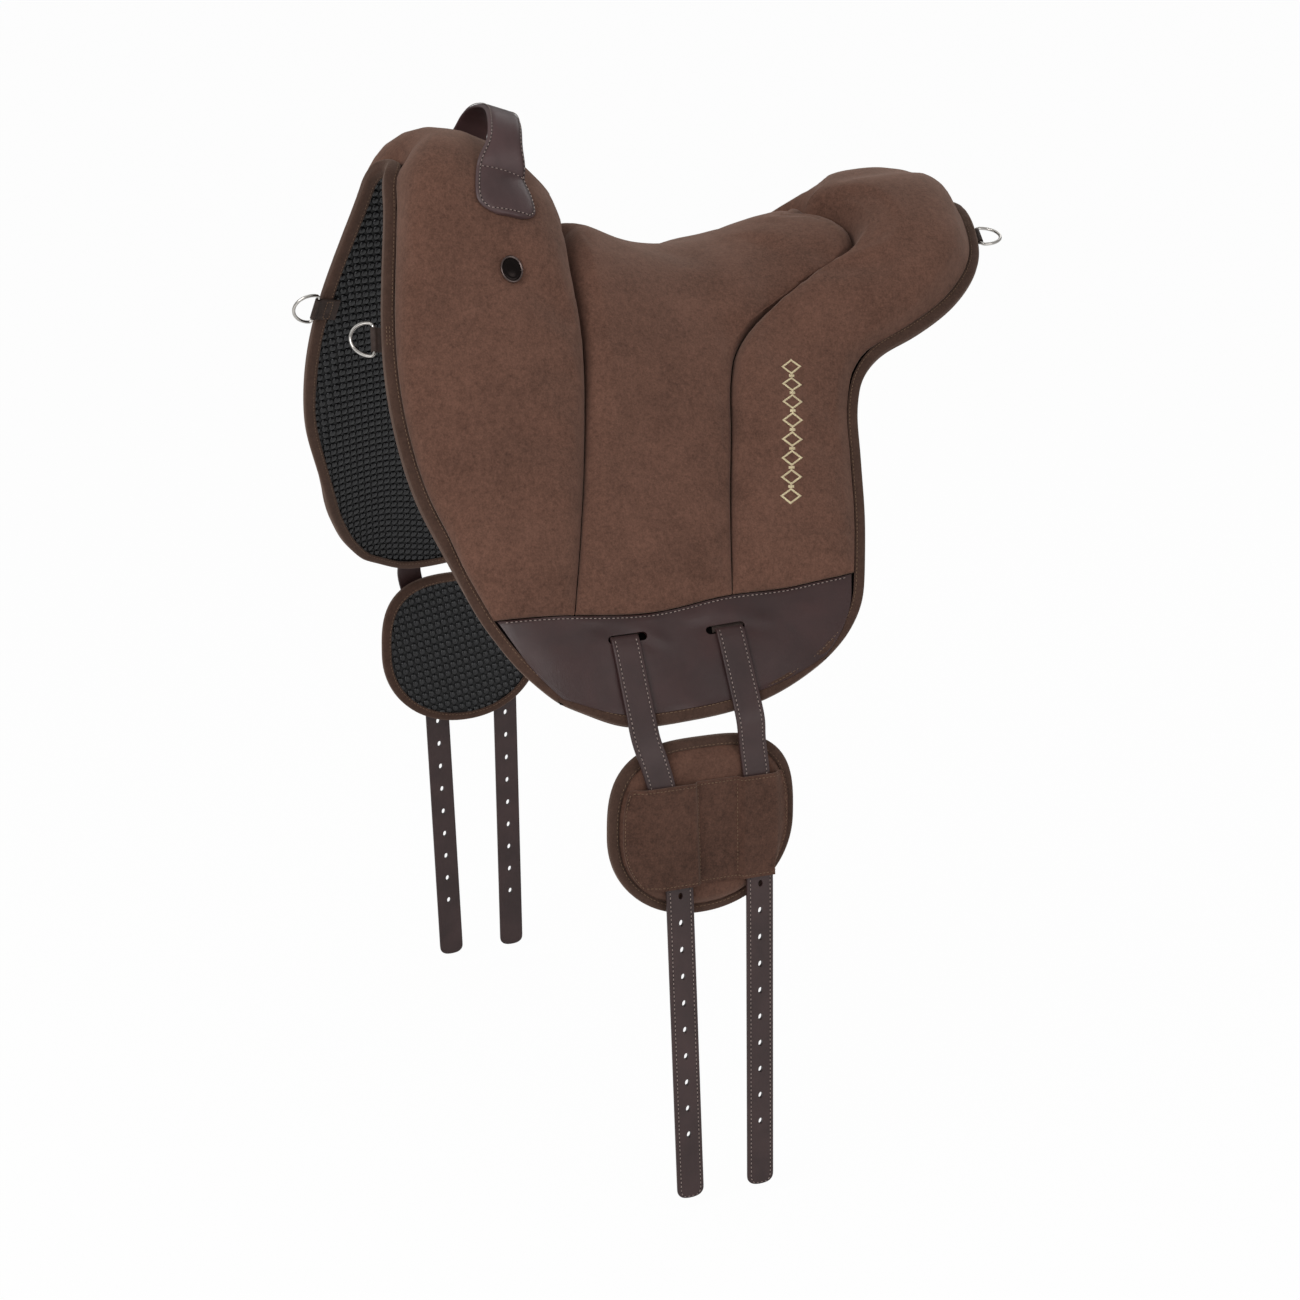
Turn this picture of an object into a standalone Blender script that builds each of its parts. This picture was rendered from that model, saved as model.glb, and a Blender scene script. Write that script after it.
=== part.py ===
"""Bareback pad for a horse: a draped, quilted pad with girth billets and sliding girth guards.

Metres, +Z up. +X is the horse's near (left) side, -Y its head, +Y its tail.
The origin is on the underside of the pad, at the lowest point of the spine line.

The pad is drawn as a flat pattern and then draped over the back. A pattern point is (y, s):
y runs along the horse, s is the distance down the side from the spine line. One grid of
pattern points, the quilt, carries the lining, the foam core, the panels, the leather
panels and the binding, so that every layer lies parallel to the one below it.
"""
import math

import bmesh
import bpy
import numpy as np
from mathutils import Matrix, Vector
from mathutils.bvhtree import BVHTree

COLLECTION = "bareback_pad"

# The horse's back under the pad, station by station along the spine:
# y, height of the spine, crest length, side angle in degrees, s where the flap starts to turn down.
# A short crest makes a sharp ridge (the withers), a long one a flat back.
BACK_STATIONS = [
    (-0.262, 0.117, 0.014, 62.5, 0.330),
    (-0.190, 0.088, 0.032, 59.5, 0.300),
    (-0.100, 0.034, 0.052, 56.3, 0.220),
    (0.010, 0.000, 0.072, 53.3, 0.175),
    (0.060, 0.003, 0.078, 52.5, 0.175),
    (0.160, 0.024, 0.092, 52.5, 0.175),
    (0.244, 0.036, 0.110, 53.0, 0.175),
    (0.330, 0.045, 0.125, 55.0, 0.175),
]
FLAP_TURN = 10.0          # degrees that the flap turns towards vertical, for each metre of s
STEEPEST = 86.0           # degrees, so that the flap never tucks in under itself
TABLE_STEP = 0.004        # spacing of the table that the draped surface is read from

# Pattern lines, as (y, s)
FRONT_EDGE = [(-0.253, 0.0), (-0.264, 0.017), (-0.270, 0.050), (-0.281, 0.102), (-0.291, 0.154),
              (-0.296, 0.195), (-0.296, 0.262), (-0.289, 0.312), (-0.271, 0.367), (-0.250, 0.425)]
REAR_EDGE = [(0.324, 0.0), (0.318, 0.030), (0.309, 0.061), (0.289, 0.110), (0.248, 0.149),
             (0.198, 0.170), (0.162, 0.178), (0.141, 0.192), (0.127, 0.217), (0.115, 0.265),
             (0.102, 0.324), (0.090, 0.366)]
FRONT_SEAM = [(-0.093, 0.0), (-0.106, 0.035), (-0.112, 0.068), (-0.116, 0.135), (-0.133, 0.229),
              (-0.154, 0.323), (-0.175, 0.411)]
REAR_SEAM = [(0.158, 0.0), (0.178, 0.020), (0.185, 0.042), (0.180, 0.063), (0.165, 0.077),
             (0.117, 0.090), (0.078, 0.101), (0.049, 0.116), (0.032, 0.133), (0.019, 0.160),
             (0.006, 0.205), (-0.013, 0.274), (-0.032, 0.358)]
FLAP_FRONT = [(-0.250, 0.425), (-0.224, 0.469), (-0.200, 0.494)]
FLAP_BOTTOM = [(-0.200, 0.494), (-0.160, 0.502), (-0.102, 0.483), (-0.026, 0.457), (0.038, 0.430)]
FLAP_REAR = [(0.090, 0.366), (0.081, 0.391), (0.062, 0.414), (0.038, 0.430)]

# Rows of the quilt, as shares of each pattern line from the spine to the leather seam
ROW_STEPS = [0.0, 10.0, 22.0, 38.0, 60.0, 90.0, 130.0, 180.0, 240.0, 310.0, 380.0, 414.0, 428.0]
LEATHER_ROWS = 2

# Layers, measured square to the underside
LINING = 0.0022           # rubber grip lining
CORE = 0.0050             # foam sheet that the panels are quilted on
LAYER_GAP = 0.0003        # between one layer and the next
LEATHER = 0.0022          # leather panel at the foot of the flap
BINDING = 0.0015          # thickness of the binding tape
BINDING_WIDTH = 0.0100    # how far each leg of the binding reaches in from the edge
SEAM_GAP = 0.0010         # between one panel and the next, in the pattern
EDGE_RISE = 0.0030        # height of a panel's wall at its seam, before its shoulder rounds over

# Panels: crown height above the underside from the spine (0) to the leather seam (1)
FRONT_CROWN = [(0.0, 0.0545), (0.10, 0.050), (0.25, 0.037), (0.50, 0.029), (1.0, 0.022)]
SEAT_CROWN = [(0.0, 0.034), (0.25, 0.028), (0.60, 0.022), (1.0, 0.018)]
CANTLE_CROWN = [(0.0, 0.0575), (0.10, 0.055), (0.25, 0.044), (0.50, 0.032), (1.0, 0.022)]
# Shoulder lengths, at the spine and down the flap
FRONT_RIM_SHOULDER = (0.030, 0.020)
FRONT_SEAM_SHOULDER = (0.052, 0.018)
SEAT_SHOULDER = (0.020, 0.016)
CANTLE_SEAM_SHOULDER = (0.030, 0.018)
CANTLE_RIM_SHOULDER = (0.062, 0.022)
# Share of the crown reached at 0.3 of a shoulder and at its end: front and rear side of each panel
FRONT_LEVELS = ((0.70, 0.93), (0.50, 0.90))
SEAT_LEVELS = ((0.70, 0.95), (0.70, 0.95))
CANTLE_LEVELS = ((0.60, 0.93), (0.45, 0.90))
SHOULDER_FADE = 0.30      # share of the flap over which the spine's shoulder dies away
FOOT_FALL = 0.55          # crown left in the last row above the leather seam
CANTLE_CREASE = 0.007     # depth of the crease where the two halves of the roll meet
CREASE_REACH = 0.08       # share of the flap that the crease takes

# Girth webbing, let into the foam core under the panels
WEBBING = 0.0014
WEBBING_WIDTH = 0.030
WEBBING_GAP = 0.0005
WEBBING_SUNK = 0.0010     # below the top of the core
WEBBING_STEPS = 1         # sections for each row of the net
WEBBING_END_GAP = 0.0005  # between a webbing's end and its slot
TRENCH_OPEN = 0.0040      # how far the cutter of its trench stands out of the core
WEBBING_CRESTS = (-0.112, -0.030)   # y where each webbing crosses the spine

# Billets: one pair on each side, hung from slots in the leather panel
SLOT_YS = (-0.137, -0.042)
SLOT_DROP = 0.267         # depth of the underside at both slots, so that they share one axis
SLOT_LENGTH = 0.0315
SLOT_HEIGHT = 0.0085
BILLET_WIDTH = 0.0254
BILLET = 0.0036           # two layers of leather
BILLET_CLEARANCE = 0.0006
BILLET_TIP_DROP = 0.775   # depth of the billets' tips below the origin
BILLET_RISE = 0.009       # run over which a billet climbs out of its slot
BILLET_LEAVE = 0.014      # how far below the flap's edge the billet is clear of it
# y of the two billets at three depths: entering the guard, leaving it, at the tip
BILLET_ENTRY_YS = (-0.126, -0.036)
BILLET_EXIT_YS = (-0.109, -0.032)
BILLET_TIP_YS = (-0.097, -0.028)
BILLET_UPRIGHT = 0.012    # how far above the sleeve the billet is already upright
HOLE_PITCH = 0.0254
HOLE_COUNT = 12
HOLE_LONG = 0.0060
HOLE_WIDE = 0.0042
HOLE_TO_END = 0.062
TIP_LENGTH = 0.0100       # of the blunt round end
TIP_BLUNTNESS = 0.7       # 1 for an oval end, less for a squarer one

# Girth guard: an oval pad that slides on both billets of a side
GUARD_Y = -0.083
GUARD_GAP = 0.0111        # between the flap's lowest point and the guard's upper edge
GUARD_HALF_WIDTH = 0.088
GUARD_HALF_HEIGHT = 0.0805
GUARD_TOP_POWER = 3.0     # roundness of the outline above and below its centre
GUARD_BOTTOM_POWER = 2.1
GUARD_SIDES = 28
GUARD_PAD = 0.0110
GUARD_RIM = 0.0040        # thickness of the pad where the binding holds it
GUARD_LINING = 0.0020
GUARD_BINDING_WIDTH = 0.0085
GUARD_SHOULDER = 0.0120
SLEEVE = 0.0015
SLEEVE_TOP = 0.044        # above the guard's centre
SLEEVE_BOTTOM = 0.050     # below it
SLEEVE_MARGIN = 0.0115    # from the guard's outline to the sleeve's side edge
SLEEVE_SIDE = 0.0010      # flat strip of the sleeve beside a tunnel, at least
SLEEVE_ROWS = 5
SLEEVE_LIFT = 0.0025      # run of a tunnel's side wall
TUNNEL_PLAY = 0.0014      # side play of a billet in its tunnel
GUARD_TRAVEL = 0.200      # how far the guard slides down the billets

# D-rings and their tabs, by the share of the edge line where they are sewn
RING_FRONT_S = 0.165      # distance down the front edge
RING_REAR_S = 0.056       # distance down the rear edge
RING_WIRE = 0.0030
RING_INSIDE = 0.0270      # length of the straight bar inside the bow
RING_DEPTH = 0.0240       # outside depth, bar to bow
RING_OUT = 0.0055         # from the binding's edge to the centre of the bar
TAB = 0.0012
TAB_WIDTH = 0.0220
TAB_TAIL = 0.0160
TAB_GAP = 0.0006

# Grab handle over the pommel
HANDLE_Y = -0.160
HANDLE = 0.0050
HANDLE_TOP = 0.170        # height of its highest point
HANDLE_WIDTH = 0.033      # at the top of the arch
HANDLE_STITCH_WIDTH = 0.046
SPADE_WIDTH = 0.056
SPADE_LENGTH = 0.034      # along s
SPADE_WIDEST = 0.6        # share of that length at which the spade is widest
SPADE_TIP_WIDTH = 0.028
HANDLE_FOOT = (-0.190, 0.029)       # pattern point where the arch meets the pommel
SPADE_TIP_Y = -0.188
HANDLE_SEAT_GAP = 0.0006
HANDLE_PARTS = (-0.5, -0.17, 0.17, 0.5)     # where the points of a section lie across its width
RAY_START = 0.10          # how far outside a panel the rays that find it start

# Plain badge on the near side of the front panel
BADGE_Y = -0.181
BADGE_S = 0.106
BADGE_WIDTH = 0.021
BADGE_HEIGHT = 0.025
BADGE = 0.0022


def clear_scene():
    """Removes every object that the new scene came with."""
    for obj in list(bpy.data.objects):
        bpy.data.objects.remove(obj, do_unlink=True)


def collection(name):
    """Gives a new collection in the scene."""
    group = bpy.data.collections.new(name)
    bpy.context.scene.collection.children.link(group)
    return group


def material(name, colour, roughness, metallic=0.0):
    """Gives a Principled material of one colour."""
    made = bpy.data.materials.new(name)
    made.use_nodes = True
    shader = made.node_tree.nodes["Principled BSDF"]
    shader.inputs["Base Color"].default_value = (*colour, 1.0)
    shader.inputs["Roughness"].default_value = roughness
    shader.inputs["Metallic"].default_value = metallic
    return made


def hermite(points, t):
    """Reads every value in rows of (t, value, ...) at t, on a smooth curve through the rows."""
    rows = np.array(points, dtype=float)
    keys = rows[:, 0]
    t = min(max(t, keys[0]), keys[-1])
    slopes = np.gradient(rows[:, 1:], keys, axis=0)
    k = min(max(int(np.searchsorted(keys, t, side="right")) - 1, 0), len(keys) - 2)
    span = keys[k + 1] - keys[k]
    f = (t - keys[k]) / span
    blend_a = 2 * f**3 - 3 * f**2 + 1
    blend_b = f**3 - 2 * f**2 + f
    blend_c = 3 * f**2 - 2 * f**3
    blend_d = f**3 - f**2
    value = blend_a * rows[k, 1:] + blend_b * span * slopes[k]
    return value + blend_c * rows[k + 1, 1:] + blend_d * span * slopes[k + 1]


class PatternLine:
    """A smooth line through a few pattern points, read by its share of length."""

    def __init__(self, points):
        points = np.array(points, dtype=float)
        chords = np.concatenate([[0.0], np.cumsum(np.linalg.norm(np.diff(points, axis=0), axis=1))])
        rows = np.column_stack([chords, points])
        steps = np.linspace(0.0, chords[-1], 240)
        self.fine = np.array([hermite(rows, t) for t in steps])
        runs = np.linalg.norm(np.diff(self.fine, axis=0), axis=1)
        self.run = np.concatenate([[0.0], np.cumsum(runs)])
        self.length = self.run[-1]

    def at(self, share):
        """The pattern point at a share of the line's length."""
        distance = share * self.length
        y = np.interp(distance, self.run, self.fine[:, 0])
        s = np.interp(distance, self.run, self.fine[:, 1])
        return np.array([y, s])

    def share_at_s(self, s):
        """The share of length at which the line first comes s down the side."""
        index = int(np.argmax(self.fine[:, 1] >= s))
        return self.run[index] / self.length

    def direction(self, share):
        """The unit direction along the line."""
        step = 0.01
        ahead = self.at(min(share + step, 1.0)) - self.at(max(share - step, 0.0))
        return ahead / np.linalg.norm(ahead)


class Back:
    """The draped surface, read from a table of cross-sections of the horse's back."""

    def __init__(self):
        self.front = BACK_STATIONS[0][0]
        self.rear = BACK_STATIONS[-1][0]
        self.ys = np.arange(self.front, self.rear + TABLE_STEP, TABLE_STEP)
        deepest = max(s for _, s in FLAP_BOTTOM)
        self.runs = np.arange(0.0, deepest + 2 * BILLET_LEAVE, TABLE_STEP)
        across = []
        heights = []
        for y in self.ys:
            height, crest, side, turn_from = hermite(BACK_STATIONS, y)
            angle = side * (1.0 - np.exp(-self.runs / crest))
            angle = angle + FLAP_TURN * np.clip(self.runs - turn_from, 0.0, None)
            angle = np.radians(np.minimum(angle, STEEPEST))
            middle = (angle[1:] + angle[:-1]) / 2
            across.append(np.concatenate([[0.0], np.cumsum(np.cos(middle) * TABLE_STEP)]))
            heights.append(height - np.concatenate([[0.0], np.cumsum(np.sin(middle) * TABLE_STEP)]))
        self.across = np.array(across)
        self.heights = np.array(heights)

    def read(self, table, y, s):
        """Reads one table at a pattern point, straight between its entries."""
        row = (min(max(y, self.ys[0]), self.ys[-1]) - self.ys[0]) / TABLE_STEP
        low = min(int(row), len(self.ys) - 2)
        near = np.interp(s, self.runs, table[low])
        far = np.interp(s, self.runs, table[low + 1])
        return near + (far - near) * (row - low)

    def point(self, y, s):
        """The point of the underside at a pattern point, on the near side when s is positive."""
        side = -1.0 if s < 0 else 1.0
        x = side * self.read(self.across, y, abs(s))
        return np.array([x, y, self.read(self.heights, y, abs(s))])

    def normal(self, y, s):
        """The outward direction there."""
        step = 0.006
        along = self.point(y + step, s) - self.point(y - step, s)
        down = self.point(y, s + step) - self.point(y, s - step)
        outward = np.cross(down, along)
        return outward / np.linalg.norm(outward)

    def lifted(self, y, s, height):
        """The point at a height above the underside."""
        return self.point(y, s) + self.normal(y, s) * height

    def s_at_height(self, y, z):
        """How far down the side the underside comes to the height z."""
        column = [self.read(self.heights, y, s) for s in self.runs]
        return float(np.interp(-z, [-value for value in column], self.runs))


def guard_depth(back):
    """Depth of a guard's centre below the origin: it hangs just under the flap."""
    foot = PatternLine(FLAP_BOTTOM)
    lowest = min(back.point(*foot.at(share))[2] for share in np.linspace(0.0, 1.0, 41))
    return GUARD_GAP + GUARD_HALF_HEIGHT - lowest


def fade(pair, share):
    """A value that goes from its spine value to its flap value over the shoulder fade."""
    f = min(share / SHOULDER_FADE, 1.0)
    f = f * f * (3 - 2 * f)
    return pair[0] + (pair[1] - pair[0]) * f


class Quilt:
    """The grid of pattern points that all the layers share.

    Columns run from the front edge to the rear edge, rows from the spine to the flap's foot.
    The outermost column on each side and the lowest row are the rim, which the binding covers.
    """

    def __init__(self, back):
        self.back = back
        self.lines = [PatternLine(line) for line in (FRONT_EDGE, FRONT_SEAM, REAR_SEAM, REAR_EDGE)]
        self.shares = [step / ROW_STEPS[-1] for step in ROW_STEPS]
        self.seam_row = len(self.shares) - 1
        rows = [self.upper_row(share) for share in self.shares]
        rows += self.leather_part(rows[-1])
        self.nodes = np.array(rows)
        self.last_row = len(rows) - 1
        self.last_column = len(rows[0]) - 1
        self.points = np.zeros((len(rows), len(rows[0]), 3))
        self.normals = np.zeros_like(self.points)
        for j, row in enumerate(rows):
            for i, (y, s) in enumerate(row):
                self.points[j, i] = back.point(y, s)
                self.normals[j, i] = back.normal(y, s)

    def rim_point(self, line, share, towards):
        """The inner edge of the binding, on the way from an edge line to a seam."""
        edge = line.at(share)
        way = (towards - edge) / np.linalg.norm(towards - edge)
        tangent = line.direction(share)
        squareness = abs(way[0] * tangent[1] - way[1] * tangent[0])
        return edge + way * BINDING_WIDTH / max(squareness, 0.5)

    def upper_row(self, share):
        """One row above the leather seam, with its panel columns closer together at the seams."""
        edge_a, seam_a, seam_b, edge_b = [line.at(share) for line in self.lines]
        rim_a = self.rim_point(self.lines[0], share, seam_a)
        rim_b = self.rim_point(self.lines[3], share, seam_b)
        spans = [
            (rim_a, seam_a, fade(FRONT_RIM_SHOULDER, share), fade(FRONT_SEAM_SHOULDER, share), 3),
            (seam_a, seam_b, fade(SEAT_SHOULDER, share), fade(SEAT_SHOULDER, share), 4),
            (seam_b, rim_b, fade(CANTLE_SEAM_SHOULDER, share), fade(CANTLE_RIM_SHOULDER, share), 3),
        ]
        row = [edge_a]
        self.panel_columns = []
        for start, end, first, last, inner in spans:
            self.panel_columns.append((len(row), len(row) + inner + 4))
            width = np.linalg.norm(end - start)
            first = min(first, 0.33 * width)
            last = min(last, 0.33 * width)
            stops = [0.0, 0.3 * first]
            stops += [first + (width - first - last) * k / inner for k in range(inner + 1)]
            stops += [width - 0.3 * last]
            row += [start + (end - start) * stop / width for stop in stops]
        row += [rim_b, edge_b]
        return np.array(row)

    def leather_part(self, top):
        """The rows below the leather seam: an even net between the seam and the flap's foot."""
        left = PatternLine(FLAP_FRONT)
        right = PatternLine(FLAP_REAR)
        bottom = PatternLine(FLAP_BOTTOM)
        runs = np.concatenate([[0.0], np.cumsum(np.linalg.norm(np.diff(top, axis=0), axis=1))])
        us = runs / runs[-1]
        rim = BINDING_WIDTH / left.length
        vs = [(1.0 - rim) * (k + 1) / (LEATHER_ROWS + 1) for k in range(LEATHER_ROWS + 1)] + [1.0]
        us[1] = BINDING_WIDTH / bottom.length
        us[-2] = 1.0 - BINDING_WIDTH / bottom.length
        rows = []
        for v in vs:
            row = []
            for i, u in enumerate(us):
                across = (1 - u) * left.at(v) + u * right.at(v)
                down = (1 - v) * top[i] + v * bottom.at(u)
                corners = (1 - u) * ((1 - v) * top[0] + v * bottom.at(0.0))
                corners = corners + u * ((1 - v) * top[-1] + v * bottom.at(1.0))
                row.append(across + down - corners)
            rows.append(np.array(row))
        return rows

    def place(self, j, i, height):
        """The 3-D point over a node."""
        return self.points[j, i] + self.normals[j, i] * height

    def on_net(self, j, down, y, shift, height):
        """The 3-D point on the net's own flat faces, a part of the way down past row j.

        It lies where the row crosses y, moved along the row by shift.
        """
        row = self.nodes[j] * (1 - down) + self.nodes[j + 1] * down
        runs = np.concatenate([[0.0], np.cumsum(np.linalg.norm(np.diff(row, axis=0), axis=1))])
        run = np.interp(y, row[:, 0], runs) + shift
        i = min(int(np.searchsorted(runs, run, side="right")) - 1, len(row) - 2)
        along = (run - runs[i]) / (runs[i + 1] - runs[i])
        first = self.place(j, i, height)
        last = self.place(j + 1, i + 1, height)
        if along > down:
            return first * (1 - along) + self.place(j, i + 1, height) * (along - down) + last * down
        return first * (1 - down) + self.place(j + 1, i, height) * (down - along) + last * along


def mesh_object(name, bm, group, finish, smooth=None):
    """Turns a bmesh into an object of the collection."""
    mesh = bpy.data.meshes.new(name)
    bm.normal_update()
    bmesh.ops.recalc_face_normals(bm, faces=bm.faces[:])
    if bm.calc_volume(signed=True) < 0.0:
        bmesh.ops.reverse_faces(bm, faces=bm.faces[:])
    bm.to_mesh(mesh)
    bm.free()
    obj = bpy.data.objects.new(name, mesh)
    group.objects.link(obj)
    if finish is not None:
        mesh.materials.append(finish)
    if smooth is not None:
        mesh.shade_smooth()
        mesh.set_sharp_from_angle(angle=math.radians(smooth))
    return obj


def mirror_half(obj):
    """Completes a piece whose near half is open at the plane x = 0."""
    mirror = obj.modifiers.new("mirror", "MIRROR")
    mirror.use_axis = (True, False, False)
    mirror.use_clip = True
    mirror.merge_threshold = 0.00005


def cut(obj, cutter):
    """Cuts one closed mesh out of another."""
    boolean = obj.modifiers.new("cut", "BOOLEAN")
    boolean.operation = "DIFFERENCE"
    boolean.solver = "EXACT"
    boolean.object = cutter


def hide_cutter(obj):
    """Keeps a cutter out of the way."""
    obj.hide_render = True
    obj.display_type = "WIRE"


def slab_grid(columns, rows, low, high, open_row):
    """A two-layer triangulated net: low(j, i) and high(j, i) give its lower and upper points.

    With open_row the net has no wall along its first row, where it is mirrored.
    """
    first_i, last_i = columns
    first_j, last_j = rows
    bm = bmesh.new()
    wide = last_i - first_i
    tall = last_j - first_j
    bmesh.ops.create_grid(bm, x_segments=wide, y_segments=tall, size=0.5)
    bmesh.ops.triangulate(bm, faces=bm.faces[:], quad_method="FIXED")
    lower = {}
    for vert in bm.verts:
        i = first_i + round((vert.co.x + 0.5) * wide)
        j = first_j + round((vert.co.y + 0.5) * tall)
        lower[vert] = (j, i)
        vert.co = Vector((i, j, 0.0))
    made = bmesh.ops.extrude_face_region(bm, geom=bm.faces[:])
    upper = [item for item in made["geom"] if isinstance(item, bmesh.types.BMVert)]
    spots = [(vert, (round(vert.co.y), round(vert.co.x))) for vert in upper]
    if open_row:
        walls = [face for face in bm.faces if all(round(v.co.y) == first_j for v in face.verts)]
        bmesh.ops.delete(bm, geom=walls, context="FACES")
    for vert, (j, i) in lower.items():
        vert.co = Vector(low(j, i))
    for vert, (j, i) in spots:
        vert.co = Vector(high(j, i))
    return bm


def layer(quilt, name, group, finish, low, high):
    """A whole layer of the pad, from edge to edge, pressed a little thinner inside the binding."""
    inset = (BINDING + 2 * LAYER_GAP) / BINDING_WIDTH
    last_j, last_i = quilt.last_row, quilt.last_column

    def spot(j, i, height):
        inner_i = min(max(i, 1), last_i - 1)
        inner_j = min(j, last_j - 1)
        if (inner_j, inner_i) != (j, i):
            height += LAYER_GAP if height < (low + high) / 2 else -LAYER_GAP
        edge = quilt.place(j, i, height)
        return edge + (quilt.place(inner_j, inner_i, height) - edge) * inset

    bm = slab_grid((0, last_i), (0, last_j), lambda j, i: spot(j, i, low),
                   lambda j, i: spot(j, i, high), True)
    obj = mesh_object(name, bm, group, finish, 40)
    mirror_half(obj)
    return obj


def panel(quilt, name, group, finish, index, crown, sides, crease=0.0):
    """One quilted cushion: flat below, crowned above, drawn in along its seams."""
    first, last = quilt.panel_columns[index]
    base = LINING + CORE + 2 * LAYER_GAP
    edge_height = base + EDGE_RISE
    count = last - first
    levels = [0.0, *sides[0]] + [1.0] * (count - 5) + [*sides[1][::-1], 0.0]

    def spot(j, i, height):
        inward = 1 if i == first else -1 if i == last else 0
        node = quilt.nodes[j, i]
        if inward:
            way = quilt.nodes[j, i + inward] - node
            node = node + way / np.linalg.norm(way) * SEAM_GAP / 2
        if j == quilt.seam_row:
            node = node - np.array([0.0, SEAM_GAP / 2])
        if j == 0:
            node[1] = 0.0
        return quilt.back.lifted(node[0], node[1], height)

    def top(j, i):
        share = quilt.shares[j]
        height = float(hermite(crown, share)[0])
        dip = crease * max(0.0, 1.0 - share / CREASE_REACH) * max(0.0, 1.0 - (i - first) / (count - 2))
        rise = (height - dip - edge_height) * levels[i - first]
        if j == quilt.seam_row:
            rise = 0.0
        if j == quilt.seam_row - 1:
            rise = rise * (1 + FOOT_FALL) / 2
        return spot(j, i, edge_height + rise)

    bm = slab_grid((first, last), (0, quilt.seam_row), lambda j, i: spot(j, i, base), top, True)
    obj = mesh_object(name, bm, group, finish, 60)
    mirror_half(obj)
    return obj


def leather_panel(quilt, name, group, finish, side, slots):
    """The leather panel at the foot of one flap, with its two billet slots."""
    base = LINING + CORE + 2 * LAYER_GAP
    last_j, last_i = quilt.last_row - 1, quilt.last_column - 1
    flip = np.array([side, 1.0, 1.0])

    def spot(j, i, height):
        node = np.array(quilt.nodes[j, i])
        centre = quilt.nodes[j, (1 + last_i) // 2]
        if i in (1, last_i):
            way = centre - node
            node = node + way / np.linalg.norm(way) * SEAM_GAP / 2
        if j == quilt.seam_row:
            node = node + np.array([0.0, SEAM_GAP / 2])
        if j == last_j:
            node = node - np.array([0.0, SEAM_GAP / 2])
        return quilt.back.lifted(node[0], node[1], height) * flip

    bm = slab_grid((1, last_i), (quilt.seam_row, last_j), lambda j, i: spot(j, i, base),
                   lambda j, i: spot(j, i, base + LEATHER), False)
    obj = mesh_object(name, bm, group, finish, 40)
    for slot in slots:
        cut(obj, slot)
    return obj


def sweep(sections, closed, slants=None):
    """A skin over a list of point rings, closed on itself or capped at its ends.

    With slants the skin is made of triangles: slants(n, k) says which way face k of step n is split.
    """
    bm = bmesh.new()
    rings = [[bm.verts.new(Vector(point)) for point in section] for section in sections]
    count = len(rings[0])
    pairs = list(zip(rings, rings[1:] + rings[:1])) if closed else list(zip(rings, rings[1:]))
    for n, (ring, following) in enumerate(pairs):
        for k in range(count):
            after = (k + 1) % count
            corners = (ring[k], ring[after], following[after], following[k])
            if slants is None:
                bm.faces.new(corners)
            elif slants(n, k):
                bm.faces.new((corners[0], corners[1], corners[2]))
                bm.faces.new((corners[0], corners[2], corners[3]))
            else:
                bm.faces.new((corners[0], corners[1], corners[3]))
                bm.faces.new((corners[1], corners[2], corners[3]))
    if not closed:
        bm.faces.new(rings[0])
        bm.faces.new(rings[-1])
    bmesh.ops.remove_doubles(bm, verts=bm.verts[:], dist=0.00002)
    return bm


def open_at_middle(bm):
    """Takes away the faces that lie in the plane x = 0, where a half is mirrored."""
    flat = [face for face in bm.faces if all(abs(vert.co.x) < 1e-6 for vert in face.verts)]
    bmesh.ops.delete(bm, geom=flat, context="FACES")


def rim_path(quilt):
    """The nodes round the near half of the edge, each with the node at the binding's inner edge."""
    last_j, last_i = quilt.last_row, quilt.last_column
    path = [((j, 0), (min(j, last_j - 1), 1)) for j in range(last_j + 1)]
    path += [((last_j, i), (last_j - 1, min(i, last_i - 1))) for i in range(1, last_i)]
    path += [((j, last_i), (min(j, last_j - 1), last_i - 1)) for j in range(last_j, -1, -1)]
    return path


def edge_binding(quilt, group, finish):
    """The tape folded round the whole edge of the pad."""
    top = LINING + CORE + 2 * LAYER_GAP
    bottom = -LAYER_GAP
    wall = BINDING / BINDING_WIDTH
    profile = [(0.0, bottom - BINDING), (0.0, top + BINDING), (1.0, top + BINDING), (1.0, top),
               (wall, top), (wall, bottom), (1.0, bottom), (1.0, bottom - BINDING)]
    sections = []

    def slants(n, k):
        """The same split as the net of the layers inside the tape."""
        along_foot = quilt.last_row <= n < quilt.last_row + quilt.last_column - 1
        inward = profile[(k + 1) % len(profile)][0] > profile[k][0]
        return inward != along_foot

    for outer, inner in rim_path(quilt):
        section = []
        for share, height in profile:
            edge = quilt.place(*outer, height)
            section.append(edge + (quilt.place(*inner, height) - edge) * share)
        sections.append(section)
    bm = sweep(sections, closed=False, slants=slants)
    open_at_middle(bm)
    obj = mesh_object("edge_binding", bm, group, finish, 50)
    mirror_half(obj)
    return obj


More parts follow.
